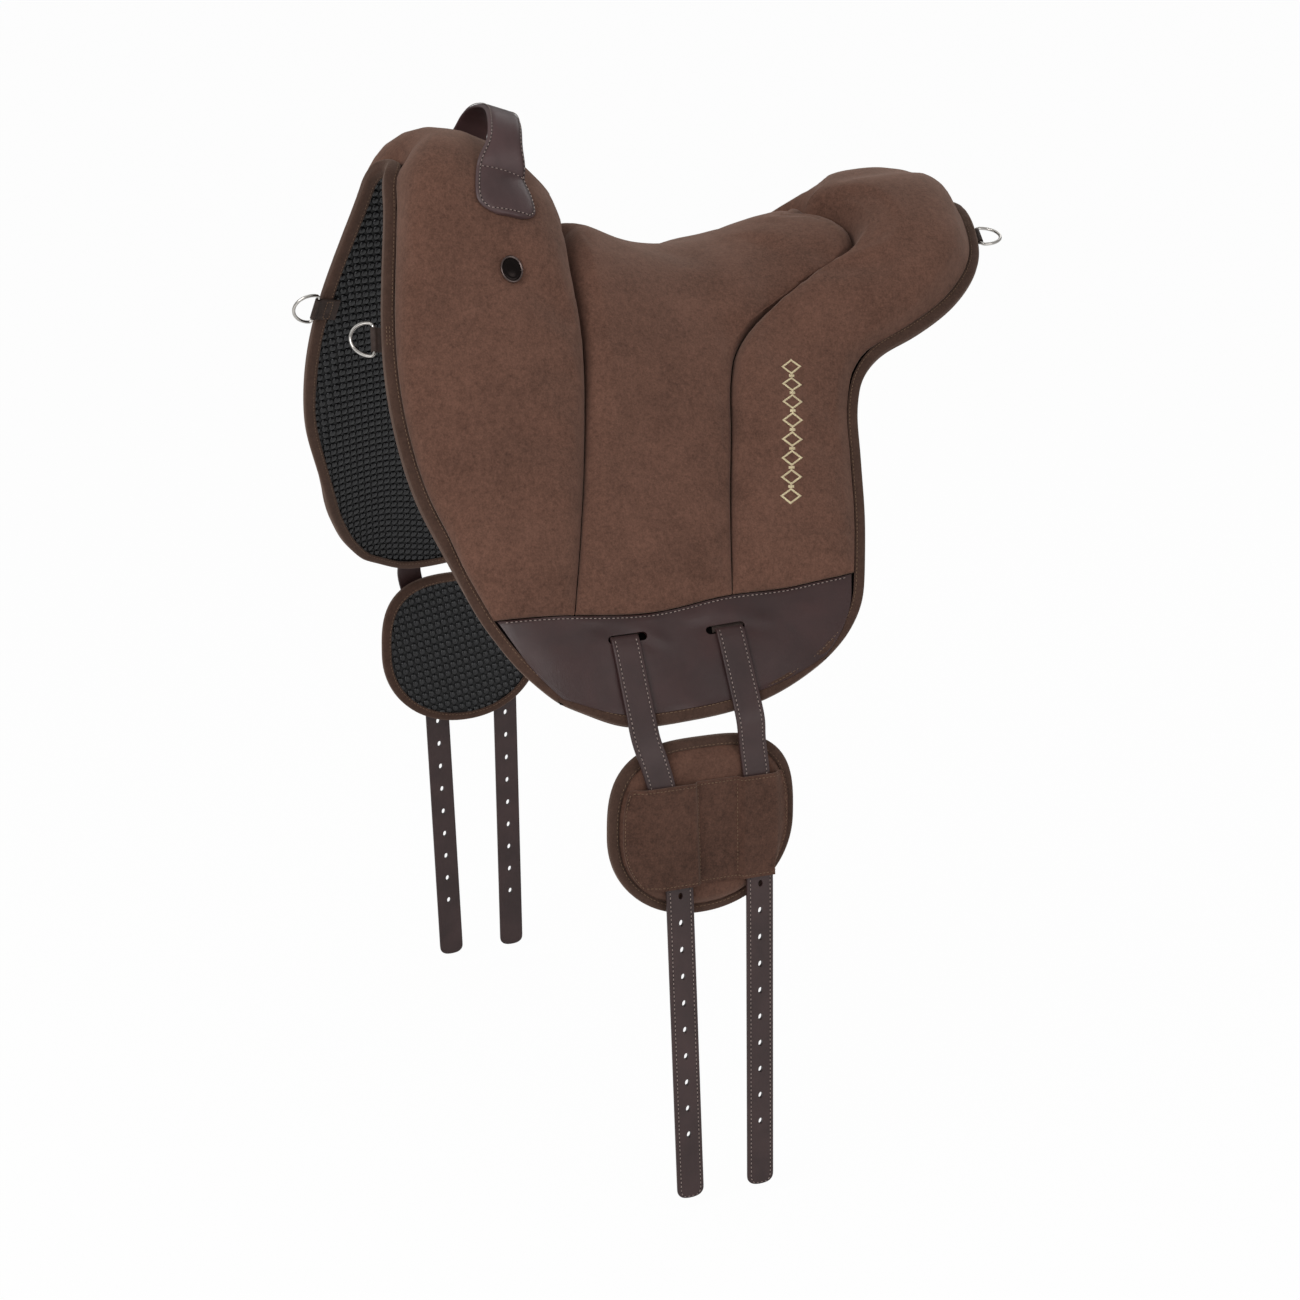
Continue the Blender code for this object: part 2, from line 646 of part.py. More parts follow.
def webbing_half(quilt, crest_y, slot, spread, low, high, end_gap):
    """The near half of a strip across the back, from the spine down to its slot."""
    slot_y, slot_s = slot
    end_s = slot_s - end_gap
    shifts = [spread * part for part in (-1.0, -0.33, 0.33, 1.0)]
    outline = [(shift, low) for shift in shifts] + [(shift, high) for shift in shifts[::-1]]
    sections = []
    reached = 0.0
    for step in range(WEBBING_STEPS * (quilt.last_row - 1)):
        j, down = step // WEBBING_STEPS, step % WEBBING_STEPS / WEBBING_STEPS
        row = quilt.nodes[j] * (1 - down) + quilt.nodes[j + 1] * down
        row_s = np.interp((crest_y + slot_y) / 2, row[:, 0], row[:, 1])
        y = crest_y + (slot_y - crest_y) * row_s / slot_s
        s = np.interp(y, row[:, 0], row[:, 1])
        section = [quilt.on_net(j, down, y, shift, height) for shift, height in outline]
        if s > end_s:
            part = (end_s - reached) / (s - reached)
            sections.append([old + (new - old) * part for old, new in zip(sections[-1], section)])
            break
        sections.append(section)
        reached = s
    bm = sweep(sections, closed=False)
    open_at_middle(bm)
    return bm


def box_mesh(size_x, size_y, size_z):
    """A plain box round its own origin."""
    bm = bmesh.new()
    bmesh.ops.create_cube(bm, size=1.0)
    bmesh.ops.scale(bm, vec=(size_x, size_y, size_z), verts=bm.verts[:])
    return bm


def frame_matrix(x_axis, y_axis, z_axis, origin):
    """A placement with the given axes."""
    turn = Matrix((x_axis, y_axis, z_axis)).transposed().to_4x4()
    return Matrix.Translation(Vector(origin)) @ turn


def slot_cutter(back, name, group, side, y, s):
    """The slot that a billet comes out of."""
    base = LINING + CORE + 2 * LAYER_GAP
    flip = np.array([side, 1.0, 1.0])
    centre = back.lifted(y, s, base + LEATHER / 2) * flip
    outward = Vector(back.normal(y, s) * flip)
    along = Vector((0.0, 1.0, 0.0))
    along = (along - outward * along.dot(outward)).normalized()
    down = outward.cross(along)
    obj = mesh_object(name, box_mesh(SLOT_LENGTH, SLOT_HEIGHT, 4 * LEATHER), group, None)
    obj.matrix_world = frame_matrix(along, down, outward, centre)
    hide_cutter(obj)
    return obj


def over_flap():
    """Height of a billet's middle above the underside, where it lies on the leather panel."""
    return LINING + CORE + 2 * LAYER_GAP + LEATHER + BILLET_CLEARANCE + BILLET / 2


def billet_leave(back, index):
    """The point just past the flap's lower edge from which a billet hangs free."""
    foot = PatternLine(FLAP_BOTTOM)
    edge_s = float(np.interp(SLOT_YS[index], foot.fine[:, 0], foot.fine[:, 1]))
    return edge_s, back.lifted(SLOT_YS[index], edge_s + BILLET_LEAVE, over_flap())


def hang_x(back):
    """x of the upright plane that the free parts of both billets hang in."""
    return (billet_leave(back, 0)[1][0] + billet_leave(back, 1)[1][0]) / 2


def billet_ways(back, index):
    """Depth and y of one billet where it enters the sleeve, leaves it and ends."""
    depth = guard_depth(back)
    return [(depth - SLEEVE_TOP, BILLET_ENTRY_YS[index]),
            (depth + SLEEVE_BOTTOM, BILLET_EXIT_YS[index]),
            (BILLET_TIP_DROP, BILLET_TIP_YS[index])]


def billet_path(back, index):
    """A near billet from its slot to the start of its round end: centre points and outward ways."""
    y_slot = SLOT_YS[index]
    slot_s = back.s_at_height(y_slot, -SLOT_DROP)
    edge_s, _ = billet_leave(back, index)
    lying_s = slot_s + BILLET_RISE
    stops = [(slot_s, over_flap() - BILLET_CLEARANCE - (BILLET + LEATHER) / 2),
             (slot_s + 0.4 * BILLET_RISE, over_flap() - BILLET_CLEARANCE / 2), (lying_s, over_flap())]
    count = 4
    for k in range(1, count + 1):
        stops.append((lying_s + (edge_s + BILLET_LEAVE - lying_s) * k / count, over_flap()))
    points = [back.lifted(y_slot, s, height) for s, height in stops]
    facing = [back.normal(y_slot, s) for s, _ in stops]
    x = hang_x(back)
    ways = billet_ways(back, index)
    drop, y = ways[0]
    above = np.array([x, y + (y_slot - y) * BILLET_UPRIGHT / (drop + points[-1][2]), BILLET_UPRIGHT - drop])
    points += [above] + [np.array([x, y, -drop]) for drop, y in ways[:-1]]
    tip = np.array([x, ways[-1][1], -ways[-1][0]])
    last = points[-1]
    points.append(tip + (last - tip) * TIP_LENGTH / np.linalg.norm(last - tip))
    facing += [np.array([1.0, 0.0, 0.0])] * (len(points) - len(facing))
    return points, facing


def billet_cutter(name, group, end, along, across, outward):
    """All the buckle holes of one billet, as a row of oval pegs."""
    bm = bmesh.new()
    for k in range(HOLE_COUNT):
        peg = bmesh.ops.create_cone(bm, segments=10, radius1=0.5, radius2=0.5, depth=4 * BILLET,
                                    cap_ends=True)["verts"]
        bmesh.ops.scale(bm, vec=(HOLE_LONG, HOLE_WIDE, 1.0), verts=peg)
        bmesh.ops.translate(bm, vec=(HOLE_TO_END + k * HOLE_PITCH, 0.0, 0.0), verts=peg)
    obj = mesh_object(name, bm, group, None)
    obj.matrix_world = frame_matrix(-along, across, outward, end)
    hide_cutter(obj)
    return obj


def billet(back, name, group, cutters, finish, side, index):
    """A leather billet: bent over the flap, straight below it, with a round end and holes."""
    flip = np.array([side, 1.0, 1.0])
    points, facing = [[item * flip for item in items] for items in billet_path(back, index)]
    half = BILLET_WIDTH / 2
    steps = 5
    sections = []
    corners = ((-half, -1), (half, -1), (half, 1), (-half, 1))
    for k, point in enumerate(points):
        before = points[max(k - 1, 0)]
        after = points[min(k + 1, len(points) - 1)]
        along = Vector(after - before).normalized()
        outward = Vector(facing[k])
        across = outward.cross(along).normalized() * side
        if facing[k][1] != 0.0:
            outward = along.cross(across) * side
        sections.append([Vector(point) + across * w + outward * h * BILLET / 2 for w, h in corners])
    end = Vector(points[-1])
    for k in range(1, steps + 1):
        turn = math.radians(90.0 * k / (steps + 0.4))
        middle = end + along * TIP_LENGTH * math.sin(turn)**TIP_BLUNTNESS
        slim = math.cos(turn)**TIP_BLUNTNESS
        sections.append([middle + across * w * slim + outward * h * BILLET / 2 for w, h in corners])
    obj = mesh_object(name, sweep(sections, closed=False), group, finish, 40)
    pegs = billet_cutter(name + "_holes", cutters, end + along * TIP_LENGTH, along, across, outward)
    cut(obj, pegs)
    return obj


def guard_outline(angle, inset):
    """A point of the guard's outline, in its own frame, moved inward by inset."""
    power = GUARD_TOP_POWER if math.sin(angle) > 0 else GUARD_BOTTOM_POWER
    wide = GUARD_HALF_WIDTH - inset
    tall = GUARD_HALF_HEIGHT - inset
    reach = abs(math.cos(angle) / wide)**power + abs(math.sin(angle) / tall)**power
    radius = reach**(-1.0 / power)
    return radius * math.cos(angle), radius * math.sin(angle)


def guard_ring(inset, depth):
    """One ring of a guard layer: x outward from the pad's outer face, y along, z up."""
    ring = []
    for k in range(GUARD_SIDES):
        y, z = guard_outline(2 * math.pi * k / GUARD_SIDES, inset)
        ring.append((depth, y, z))
    return ring


def guard_pieces(back, group, finishes, side, place):
    """The four pieces of a girth guard, in the guard's own frame and then placed."""
    word = "near" if side > 0 else "off"
    rim_back = -GUARD_PAD
    wall = BINDING + LAYER_GAP
    clear = GUARD_BINDING_WIDTH + SEAM_GAP / 2
    rounds = [(wall, rim_back), (wall, rim_back + GUARD_RIM), (clear, rim_back + GUARD_RIM),
              (clear + 0.25 * GUARD_SHOULDER, -0.35 * (GUARD_PAD - GUARD_RIM)),
              (clear + GUARD_SHOULDER, 0.0)]
    pad = sweep([guard_ring(inset, depth) for inset, depth in rounds], closed=False)
    lining_top = rim_back - LAYER_GAP
    lining = sweep([guard_ring(wall, lining_top), guard_ring(wall, lining_top - GUARD_LINING)],
                   closed=False)
    low = lining_top - GUARD_LINING - LAYER_GAP
    high = rim_back + GUARD_RIM + LAYER_GAP
    section = [(0.0, low - BINDING), (0.0, high + BINDING), (GUARD_BINDING_WIDTH, high + BINDING),
               (GUARD_BINDING_WIDTH, high), (BINDING, high), (BINDING, low),
               (GUARD_BINDING_WIDTH, low), (GUARD_BINDING_WIDTH, low - BINDING)]
    loops = [guard_ring(inset, depth) for inset, depth in section]
    turned = [[loop[k] for loop in loops] for k in range(GUARD_SIDES)]
    binding = sweep(turned, closed=True)
    made = []
    for name, bm, finish in (("guard_pad", pad, finishes["suede"]),
                             ("guard_lining", lining, finishes["grip"]),
                             ("guard_binding", binding, finishes["binding"]),
                             ("guard_sleeve", guard_sleeve(back), finishes["suede"])):
        for vert in bm.verts:
            vert.co = Vector(place(vert.co))
        made.append(mesh_object(f"{name}_{word}", bm, group, finish, 40))
    return made


def guard_drift(back):
    """How much y the guard gains for each metre it slides down, along the billets' straight part."""
    total = 0.0
    for index in (0, 1):
        (_, _), (drop_a, y_a), (drop_b, y_b) = billet_ways(back, index)
        total += (y_b - y_a) / (drop_b - drop_a) / 2
    return total


def guard_sleeve(back):
    """The sleeve sewn over the guard: a sheet raised into one tunnel for each billet."""
    inside = LAYER_GAP
    raised = BILLET + 2 * BILLET_CLEARANCE
    depth_here = guard_depth(back)
    drift = guard_drift(back)
    half = BILLET_WIDTH / 2 + TUNNEL_PLAY + SLEEVE_LIFT

    def reach(z):
        """Half width of the sleeve at a height."""
        low, high = 0.0, GUARD_HALF_WIDTH
        for _ in range(30):
            middle = (low + high) / 2
            angle = math.atan2(z, middle)
            y, limit = guard_outline(angle, SLEEVE_MARGIN)
            if math.hypot(middle, z) < math.hypot(y, limit):
                low = middle
            else:
                high = middle
        return low

    def sweep_of(index, drop):
        """Lowest and highest y, in the guard's frame, that a billet takes at one depth of the sleeve."""
        depths, ys = zip(*billet_ways(back, index))
        slides = [GUARD_TRAVEL * k / 8 for k in range(9)]
        spots = [np.interp(drop + slide, depths, ys) - GUARD_Y - slide * drift for slide in slides]
        return min(spots) - half, max(spots) + half

    bm = bmesh.new()
    rows = []
    for k in range(SLEEVE_ROWS + 1):
        f = k / SLEEVE_ROWS
        z = SLEEVE_TOP - (SLEEVE_TOP + SLEEVE_BOTTOM) * f
        edge = reach(z)
        tunnels = [sweep_of(index, depth_here - z) for index in (0, 1)]
        line = [(min(-edge, tunnels[0][0] - SLEEVE_SIDE), inside)]
        for left, right in tunnels:
            line += [(left, inside), (left + SLEEVE_LIFT, raised), (right - SLEEVE_LIFT, raised),
                     (right, inside)]
        line.append((max(edge, tunnels[1][1] + SLEEVE_SIDE), inside))
        rows.append([(depth, y, z) for y, depth in line])
    lower = [[bm.verts.new(point) for point in row] for row in rows]
    for row, following in zip(lower, lower[1:]):
        for k in range(len(row) - 1):
            bm.faces.new((row[k], row[k + 1], following[k + 1], following[k]))
    bmesh.ops.recalc_face_normals(bm, faces=bm.faces[:])
    made = bmesh.ops.extrude_face_region(bm, geom=bm.faces[:])
    for item in made["geom"]:
        if isinstance(item, bmesh.types.BMVert):
            item.co.x += SLEEVE
    bmesh.ops.triangulate(bm, faces=bm.faces[:], quad_method="FIXED")
    return bm


def ring_frame(back, line, share, side):
    """Centre and axes of a tab under the tape: out from the edge, along the edge, and up."""
    flip = np.array([side, 1.0, 1.0])
    edge = line.at(share)
    along_edge = line.direction(share)
    inward = np.array([-along_edge[1], along_edge[0]])
    if inward[0] * edge[0] > 0:
        inward = -inward
    spots = {}
    for u in (-0.5, 0.0, 0.5):
        for v in (0.0, 0.5, 1.0):
            y, s = edge + along_edge * u * TAB_WIDTH + inward * v * TAB_TAIL
            spots[u, v] = Vector(back.lifted(y, s, -LAYER_GAP - BINDING) * flip)
    out = (spots[0.0, 0.0] - spots[0.0, 1.0]).normalized()
    up = out.cross(spots[0.5, 0.0] - spots[-0.5, 0.0]).normalized()
    if up.z < 0:
        up = -up
    dip = min((spot - spots[0.0, 0.0]).dot(up) for spot in spots.values())
    centre = spots[0.0, 0.0] + up * (dip - TAB_GAP - TAB)
    return centre, out, up.cross(out), up


def d_ring(name, group, finish, origin, out, along, up):
    """A D-ring with its straight bar on the hinge axis."""
    half = RING_INSIDE / 2 + RING_WIRE / 2
    depth = RING_DEPTH - RING_WIRE
    corner = half - TAB_WIDTH / 2 - LAYER_GAP
    outline = [(0.0, -half + corner), (0.0, half - corner)]
    steps = 3
    for k in range(1, steps + 1):
        turn = math.radians(90.0 * k / steps)
        outline.append((corner - corner * math.cos(turn), half - corner + corner * math.sin(turn)))
    bow = 9
    for k in range(1, bow + 1):
        turn = math.pi * k / (bow + 1)
        outline.append((corner + (depth - corner) * math.sin(turn), half * math.cos(turn)))
    for k in range(steps):
        turn = math.radians(90.0 * k / steps)
        outline.append((corner - corner * math.sin(turn), -half + corner - corner * math.cos(turn)))
    curve = bpy.data.curves.new(name + "_wire", "CURVE")
    curve.dimensions = "3D"
    curve.bevel_depth = RING_WIRE / 2
    curve.bevel_resolution = 2
    spline = curve.splines.new("POLY")
    spline.points.add(len(outline) - 1)
    for point, (x, y) in zip(spline.points, outline):
        point.co = (x, y, 0.0, 1.0)
    spline.use_cyclic_u = True
    obj = bpy.data.objects.new(name, curve)
    curve.materials.append(finish)
    group.objects.link(obj)
    obj.matrix_world = frame_matrix(out, along, up, origin)
    return obj


def ring_tab(name, group, finish, origin, out, up):
    """A short webbing loop: its tail lies under the binding and its eye holds the ring's bar."""
    eye = RING_WIRE / 2 + LAYER_GAP
    outer = eye + TAB
    inner_end = -TAB_TAIL
    curve = bpy.data.curves.new(name + "_outline", "CURVE")
    curve.dimensions = "2D"
    curve.fill_mode = "BOTH"
    curve.extrude = TAB_WIDTH / 2
    outline = [(inner_end, -TAB), (inner_end, TAB)]
    angles = [150.0 - 60.0 * k for k in range(6)]
    outline += [(RING_OUT + outer * math.cos(math.radians(a)), outer * math.sin(math.radians(a)))
                for a in angles]
    hole = [(RING_OUT + eye * math.cos(math.radians(60.0 * k)), eye * math.sin(math.radians(60.0 * k)))
            for k in range(6)]
    for points in (outline, hole):
        spline = curve.splines.new("POLY")
        spline.points.add(len(points) - 1)
        for point, (x, y) in zip(spline.points, points):
            point.co = (x, y, 0.0, 1.0)
        spline.use_cyclic_u = True
    obj = bpy.data.objects.new(name, curve)
    curve.materials.append(finish)
    group.objects.link(obj)
    obj.matrix_world = frame_matrix(out, up, out.cross(up), origin)
    return obj


def panel_tree(obj):
    """The finished faces of a panel, for seating what is sewn on it."""
    graph = bpy.context.evaluated_depsgraph_get()
    return BVHTree.FromObject(obj, graph)


def seated(back, tree, y, s, gap):
    """The point at a gap above a panel, over a pattern point."""
    outward = Vector(back.normal(y, s))
    start = Vector(back.point(y, s)) + outward * RAY_START
    hit, normal, _, _ = tree.ray_cast(start, -outward)
    return hit + outward * gap, outward


def spade_width(share):
    """Width of the spade, from the stitch line (0) to its blunt round tip (1)."""
    if share > SPADE_WIDEST:
        past = (share - SPADE_WIDEST) / (1.02 - SPADE_WIDEST)
        return max(SPADE_WIDTH * math.sqrt(1.0 - past**2.6), SPADE_TIP_WIDTH)
    swell = math.sin(math.pi / 2 * share / SPADE_WIDEST)
    return HANDLE_STITCH_WIDTH + (SPADE_WIDTH - HANDLE_STITCH_WIDTH) * swell


def sewn_section(back, tree, y, s, wide):
    """Points and outward ways across the pommel for one section, wide as measured on it."""
    first, _ = seated(back, tree, y - wide / 2, s, HANDLE_SEAT_GAP)
    last, _ = seated(back, tree, y + wide / 2, s, HANDLE_SEAT_GAP)
    spread = wide * wide / (last - first).length
    return [seated(back, tree, y + part * spread, s, HANDLE_SEAT_GAP) for part in HANDLE_PARTS]


def settle(tree, rows):
    """Raises the sewn sections until the flat faces between their points clear the panel too."""
    for _ in range(2):
        lifts = np.zeros((len(rows), len(HANDLE_PARTS)))
        for k in range(len(rows) - 1):
            for m in range(len(HANDLE_PARTS) - 1):
                for a in np.linspace(0.0, 1.0, 5):
                    for b in np.linspace(0.0, 1.0, 5):
                        near = [rows[k][m][n].lerp(rows[k][m + 1][n], b) for n in (0, 1)]
                        far = [rows[k + 1][m][n].lerp(rows[k + 1][m + 1][n], b) for n in (0, 1)]
                        spot = near[0].lerp(far[0], a)
                        outward = near[1].lerp(far[1], a).normalized()
                        hit = tree.ray_cast(spot + outward * RAY_START, -outward)[0]
                        short = (hit - spot).dot(outward) + HANDLE_SEAT_GAP
                        patch = lifts[k:k + 2, m:m + 2]
                        patch[:] = np.maximum(patch, short)
        rows = [[(spot + outward * lift, outward) for (spot, outward), lift in zip(row, row_lifts)]
                for row, row_lifts in zip(rows, lifts)]
    return rows


def handle_sections(back, tree):
    """Cross-sections of the near half of the grab handle, from its spade up to its top."""
    foot_y, foot_s = HANDLE_FOOT
    stops = 6
    rows = []
    for k in range(stops):
        share = 1.0 - k / (stops - 1)
        y = foot_y + (SPADE_TIP_Y - foot_y) * share
        rows.append(sewn_section(back, tree, y, foot_s + SPADE_LENGTH * share, spade_width(share)))
    sections = []
    for row in settle(tree, rows):
        low = [spot for spot, _ in row]
        high = [spot + outward * HANDLE for spot, outward in row]
        sections.append(low + high[::-1])
    foot = (sections[-1][1] + sections[-1][2]) / 2
    slope = (sections[-1][3] - sections[-1][0]).normalized()
    rise = HANDLE_TOP - HANDLE - foot.z
    steps = 7
    for k in range(1, steps + 1):
        f = k / steps
        turn = math.radians(90.0 * f)
        bulge = math.cos(turn)**0.75 if k < steps else 0.0
        centre = Vector((foot.x * bulge, foot.y + (HANDLE_Y - foot.y) * f, foot.z + rise * math.sin(turn)))
        wide = HANDLE_STITCH_WIDTH + (HANDLE_WIDTH - HANDLE_STITCH_WIDTH) * min(f * 2, 1)
        outward = Vector((math.cos(turn), 0.0, math.sin(turn)))
        across = (slope - outward * slope.dot(outward)).normalized()
        if k == steps:
            across = Vector((0.0, 1.0, 0.0))
        low = [centre + across * part * wide for part in HANDLE_PARTS]
        high = [point + outward * HANDLE for point in low]
        sections.append(low + high[::-1])
    return sections


def grab_handle(back, tree, group, finish):
    """The leather handle arched over the pommel, with a spade-shaped end sewn on each side."""
    bm = sweep(handle_sections(back, tree), closed=False)
    open_at_middle(bm)
    obj = mesh_object("grab_handle", bm, group, finish, 50)
    mirror_half(obj)
    return obj


def badge_plate(back, tree, group, finish):
    """A plain domed oval plate, level with the panel under its rim."""
    half_y, half_s = BADGE_WIDTH / 2, BADGE_HEIGHT / 2
    spots = [seated(back, tree, BADGE_Y + y, BADGE_S + s, 0.0)[0]
             for y in (-half_y, 0.0, half_y) for s in (-half_s, 0.0, half_s)]
    down = spots[5] - spots[3]
    outward = down.cross(spots[7] - spots[1]).normalized()
    down.normalize()
    middle = spots[4]
    lift = max((spot - middle).dot(outward) for spot in spots) + HANDLE_SEAT_GAP
    bm = bmesh.new()
    bmesh.ops.create_cone(bm, segments=20, radius1=0.5, radius2=0.40, depth=BADGE, cap_ends=True)
    bmesh.ops.scale(bm, vec=(BADGE_HEIGHT, BADGE_WIDTH, 1.0), verts=bm.verts[:])
    obj = mesh_object("badge_plate", bm, group, finish, 30)
    place = middle + outward * (lift + BADGE / 2)
    obj.matrix_world = frame_matrix(down, outward.cross(down), outward, place)
    return obj


def empty(name, group, spot):
    """A marker on a joint's axis."""
    obj = bpy.data.objects.new(name, None)
    obj.location = spot
    obj.empty_display_size = 0.02
    group.objects.link(obj)
    return obj


def keep_parent(child, parent):
    """Parents an object without moving it."""
    bpy.context.view_layer.update()
    child.parent = parent
    child.matrix_parent_inverse = parent.matrix_world.inverted()


def main():
    clear_scene()
    group = collection(COLLECTION)
    cutters = collection("cutters")
    finishes = {
        "suede": material("suede", (0.105, 0.060, 0.042), 0.92),
        "binding": material("binding", (0.062, 0.036, 0.026), 0.88),
        "leather": material("leather", (0.043, 0.028, 0.026), 0.48),
        "grip": material("grip_rubber", (0.016, 0.017, 0.019), 0.35),
        "foam": material("foam", (0.42, 0.40, 0.36), 0.95),
        "webbing": material("webbing", (0.040, 0.024, 0.018), 0.85),
        "nickel": material("nickel", (0.62, 0.59, 0.56), 0.18, 1.0),
        "badge": material("badge_metal", (0.05, 0.045, 0.045), 0.25, 1.0),
    }
    back = Back()
    quilt = Quilt(back)

    layer(quilt, "grip_lining", group, finishes["grip"], 0.0, LINING)
    core = layer(quilt, "foam_core", group, finishes["foam"], LINING + LAYER_GAP,
                 LINING + LAYER_GAP + CORE)
    front = panel(quilt, "front_panel", group, finishes["suede"], 0, FRONT_CROWN, FRONT_LEVELS)
    panel(quilt, "seat_panel", group, finishes["suede"], 1, SEAT_CROWN, SEAT_LEVELS)
    panel(quilt, "cantle_panel", group, finishes["suede"], 2, CANTLE_CROWN, CANTLE_LEVELS,
          CANTLE_CREASE)
    edge_binding(quilt, group, finishes["binding"])

    core_top = LINING + LAYER_GAP + CORE
    web_top = core_top - WEBBING_SUNK
    slot_spots = [(y, back.s_at_height(y, -SLOT_DROP)) for y in SLOT_YS]
    for word, crest_y, slot in zip(("front", "rear"), WEBBING_CRESTS, slot_spots):
        half = WEBBING_WIDTH / 2
        strip = webbing_half(quilt, crest_y, slot, half, web_top - WEBBING, web_top, WEBBING_END_GAP)
        obj = mesh_object(f"webbing_{word}", strip, group, finishes["webbing"], 40)
        mirror_half(obj)
        trench = webbing_half(quilt, crest_y, slot, half + WEBBING_GAP,
                              web_top - WEBBING - WEBBING_GAP, core_top + TRENCH_OPEN, -SLOT_HEIGHT)
        cutter = mesh_object(f"webbing_{word}_trench", trench, cutters, None)
        mirror_half(cutter)
        hide_cutter(cutter)
        cut(core, cutter)

    for side, word in ((1.0, "near"), (-1.0, "off")):
        slots = [slot_cutter(back, f"slot_{k}_{word}", cutters, side, *spot)
                 for k, spot in enumerate(slot_spots)]
        leather_panel(quilt, f"leather_panel_{word}", group, finishes["leather"], side, slots)
        ends = [back.lifted(*spot, LINING + CORE) for spot in slot_spots]
        middle = (ends[0] + ends[1]) / 2 * np.array([side, 1.0, 1.0])
        swing = empty(f"billet_swing_{word}", group, middle)
        for index, end in enumerate(("front", "rear")):
            name = f"billet_{end}_{word}"
            strap = billet(back, name, group, cutters, finishes["leather"], side, index)
            keep_parent(strap, swing)
        inside = hang_x(back) - BILLET / 2 - BILLET_CLEARANCE
        middle = Vector((side * inside, GUARD_Y, -guard_depth(back)))

        def place(co, middle=middle, side=side):
            return middle + Vector((side * co.x, co.y, co.z))

        slide = empty(f"guard_slide_{word}", group, middle)
        for piece in guard_pieces(back, group, finishes, side, place):
            keep_parent(piece, slide)

    tree = panel_tree(front)
    grab_handle(back, tree, group, finishes["leather"])
    badge_plate(back, tree, group, finishes["badge"])

    edges = (("front", quilt.lines[0], RING_FRONT_S), ("rear", quilt.lines[3], RING_REAR_S))
    for end, line, s in edges:
        share = line.share_at_s(s)
        for side, word in ((1.0, "near"), (-1.0, "off")):
            centre, out, along, up = ring_frame(back, line, share, side)
            bar = centre + out * RING_OUT
            d_ring(f"d_ring_{end}_{word}", group, finishes["nickel"], bar, out, along, up)
            ring_tab(f"ring_tab_{end}_{word}", group, finishes["binding"], centre, out, up)


main()
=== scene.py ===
"""Looks of the bareback pad: suede cushions, leather flaps and straps, rubber lining, stitching.

Metres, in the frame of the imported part. A pattern point is (y, s): y along the horse, s down the
side from the spine line, negative on the off side.
"""
import math
from collections import defaultdict

import bmesh
import bpy
import numpy as np
from mathutils import Matrix, Vector
from mathutils.bvhtree import BVHTree


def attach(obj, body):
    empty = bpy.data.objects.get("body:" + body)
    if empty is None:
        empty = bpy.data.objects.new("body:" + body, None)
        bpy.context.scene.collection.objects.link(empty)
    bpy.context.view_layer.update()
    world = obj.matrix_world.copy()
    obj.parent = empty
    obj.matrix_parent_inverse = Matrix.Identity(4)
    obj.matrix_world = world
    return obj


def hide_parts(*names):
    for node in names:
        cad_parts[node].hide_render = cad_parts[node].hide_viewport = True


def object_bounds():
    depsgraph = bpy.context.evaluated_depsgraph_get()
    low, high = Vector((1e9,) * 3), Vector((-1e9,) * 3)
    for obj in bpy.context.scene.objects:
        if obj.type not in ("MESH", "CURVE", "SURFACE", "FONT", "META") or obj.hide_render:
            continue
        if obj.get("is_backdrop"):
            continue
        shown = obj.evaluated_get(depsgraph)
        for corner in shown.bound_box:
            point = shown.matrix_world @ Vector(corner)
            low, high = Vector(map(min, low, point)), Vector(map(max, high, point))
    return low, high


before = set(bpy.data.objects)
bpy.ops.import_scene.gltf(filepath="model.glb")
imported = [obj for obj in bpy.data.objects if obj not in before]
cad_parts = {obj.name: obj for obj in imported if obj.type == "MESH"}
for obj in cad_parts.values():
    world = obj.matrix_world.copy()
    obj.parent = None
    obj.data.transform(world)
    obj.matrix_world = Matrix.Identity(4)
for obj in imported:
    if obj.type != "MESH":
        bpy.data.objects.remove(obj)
CAD_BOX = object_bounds()

# Camera, as fitted to the photograph
AZIMUTH = 66.5
ELEVATION = 16.4
DISTANCE = 2.890
AIM = (0.0, 0.0, -0.360)
LENS = 83.077

# Sizes repeated from the part's source
BACK_STATIONS = [
    (-0.262, 0.117, 0.014, 62.5, 0.330),
    (-0.190, 0.088, 0.032, 59.5, 0.300),
    (-0.100, 0.034, 0.052, 56.3, 0.220),
    (0.010, 0.000, 0.072, 53.3, 0.175),
    (0.060, 0.003, 0.078, 52.5, 0.175),
    (0.160, 0.024, 0.092, 52.5, 0.175),
    (0.244, 0.036, 0.110, 53.0, 0.175),
    (0.330, 0.045, 0.125, 55.0, 0.175),
]
FLAP_TURN = 10.0
STEEPEST = 86.0
TABLE_STEP = 0.002
TABLE_SIDE = 0.560
FRONT_EDGE = [(-0.253, 0.0), (-0.264, 0.017), (-0.270, 0.050), (-0.281, 0.102), (-0.291, 0.154),
              (-0.296, 0.195), (-0.296, 0.262), (-0.289, 0.312), (-0.271, 0.367), (-0.250, 0.425)]
REAR_EDGE = [(0.324, 0.0), (0.318, 0.030), (0.309, 0.061), (0.289, 0.110), (0.248, 0.149),
             (0.198, 0.170), (0.162, 0.178), (0.141, 0.192), (0.127, 0.217), (0.115, 0.265),
             (0.102, 0.324), (0.090, 0.366)]
FRONT_SEAM = [(-0.093, 0.0), (-0.106, 0.035), (-0.112, 0.068), (-0.116, 0.135), (-0.133, 0.229),
              (-0.154, 0.323), (-0.175, 0.411)]
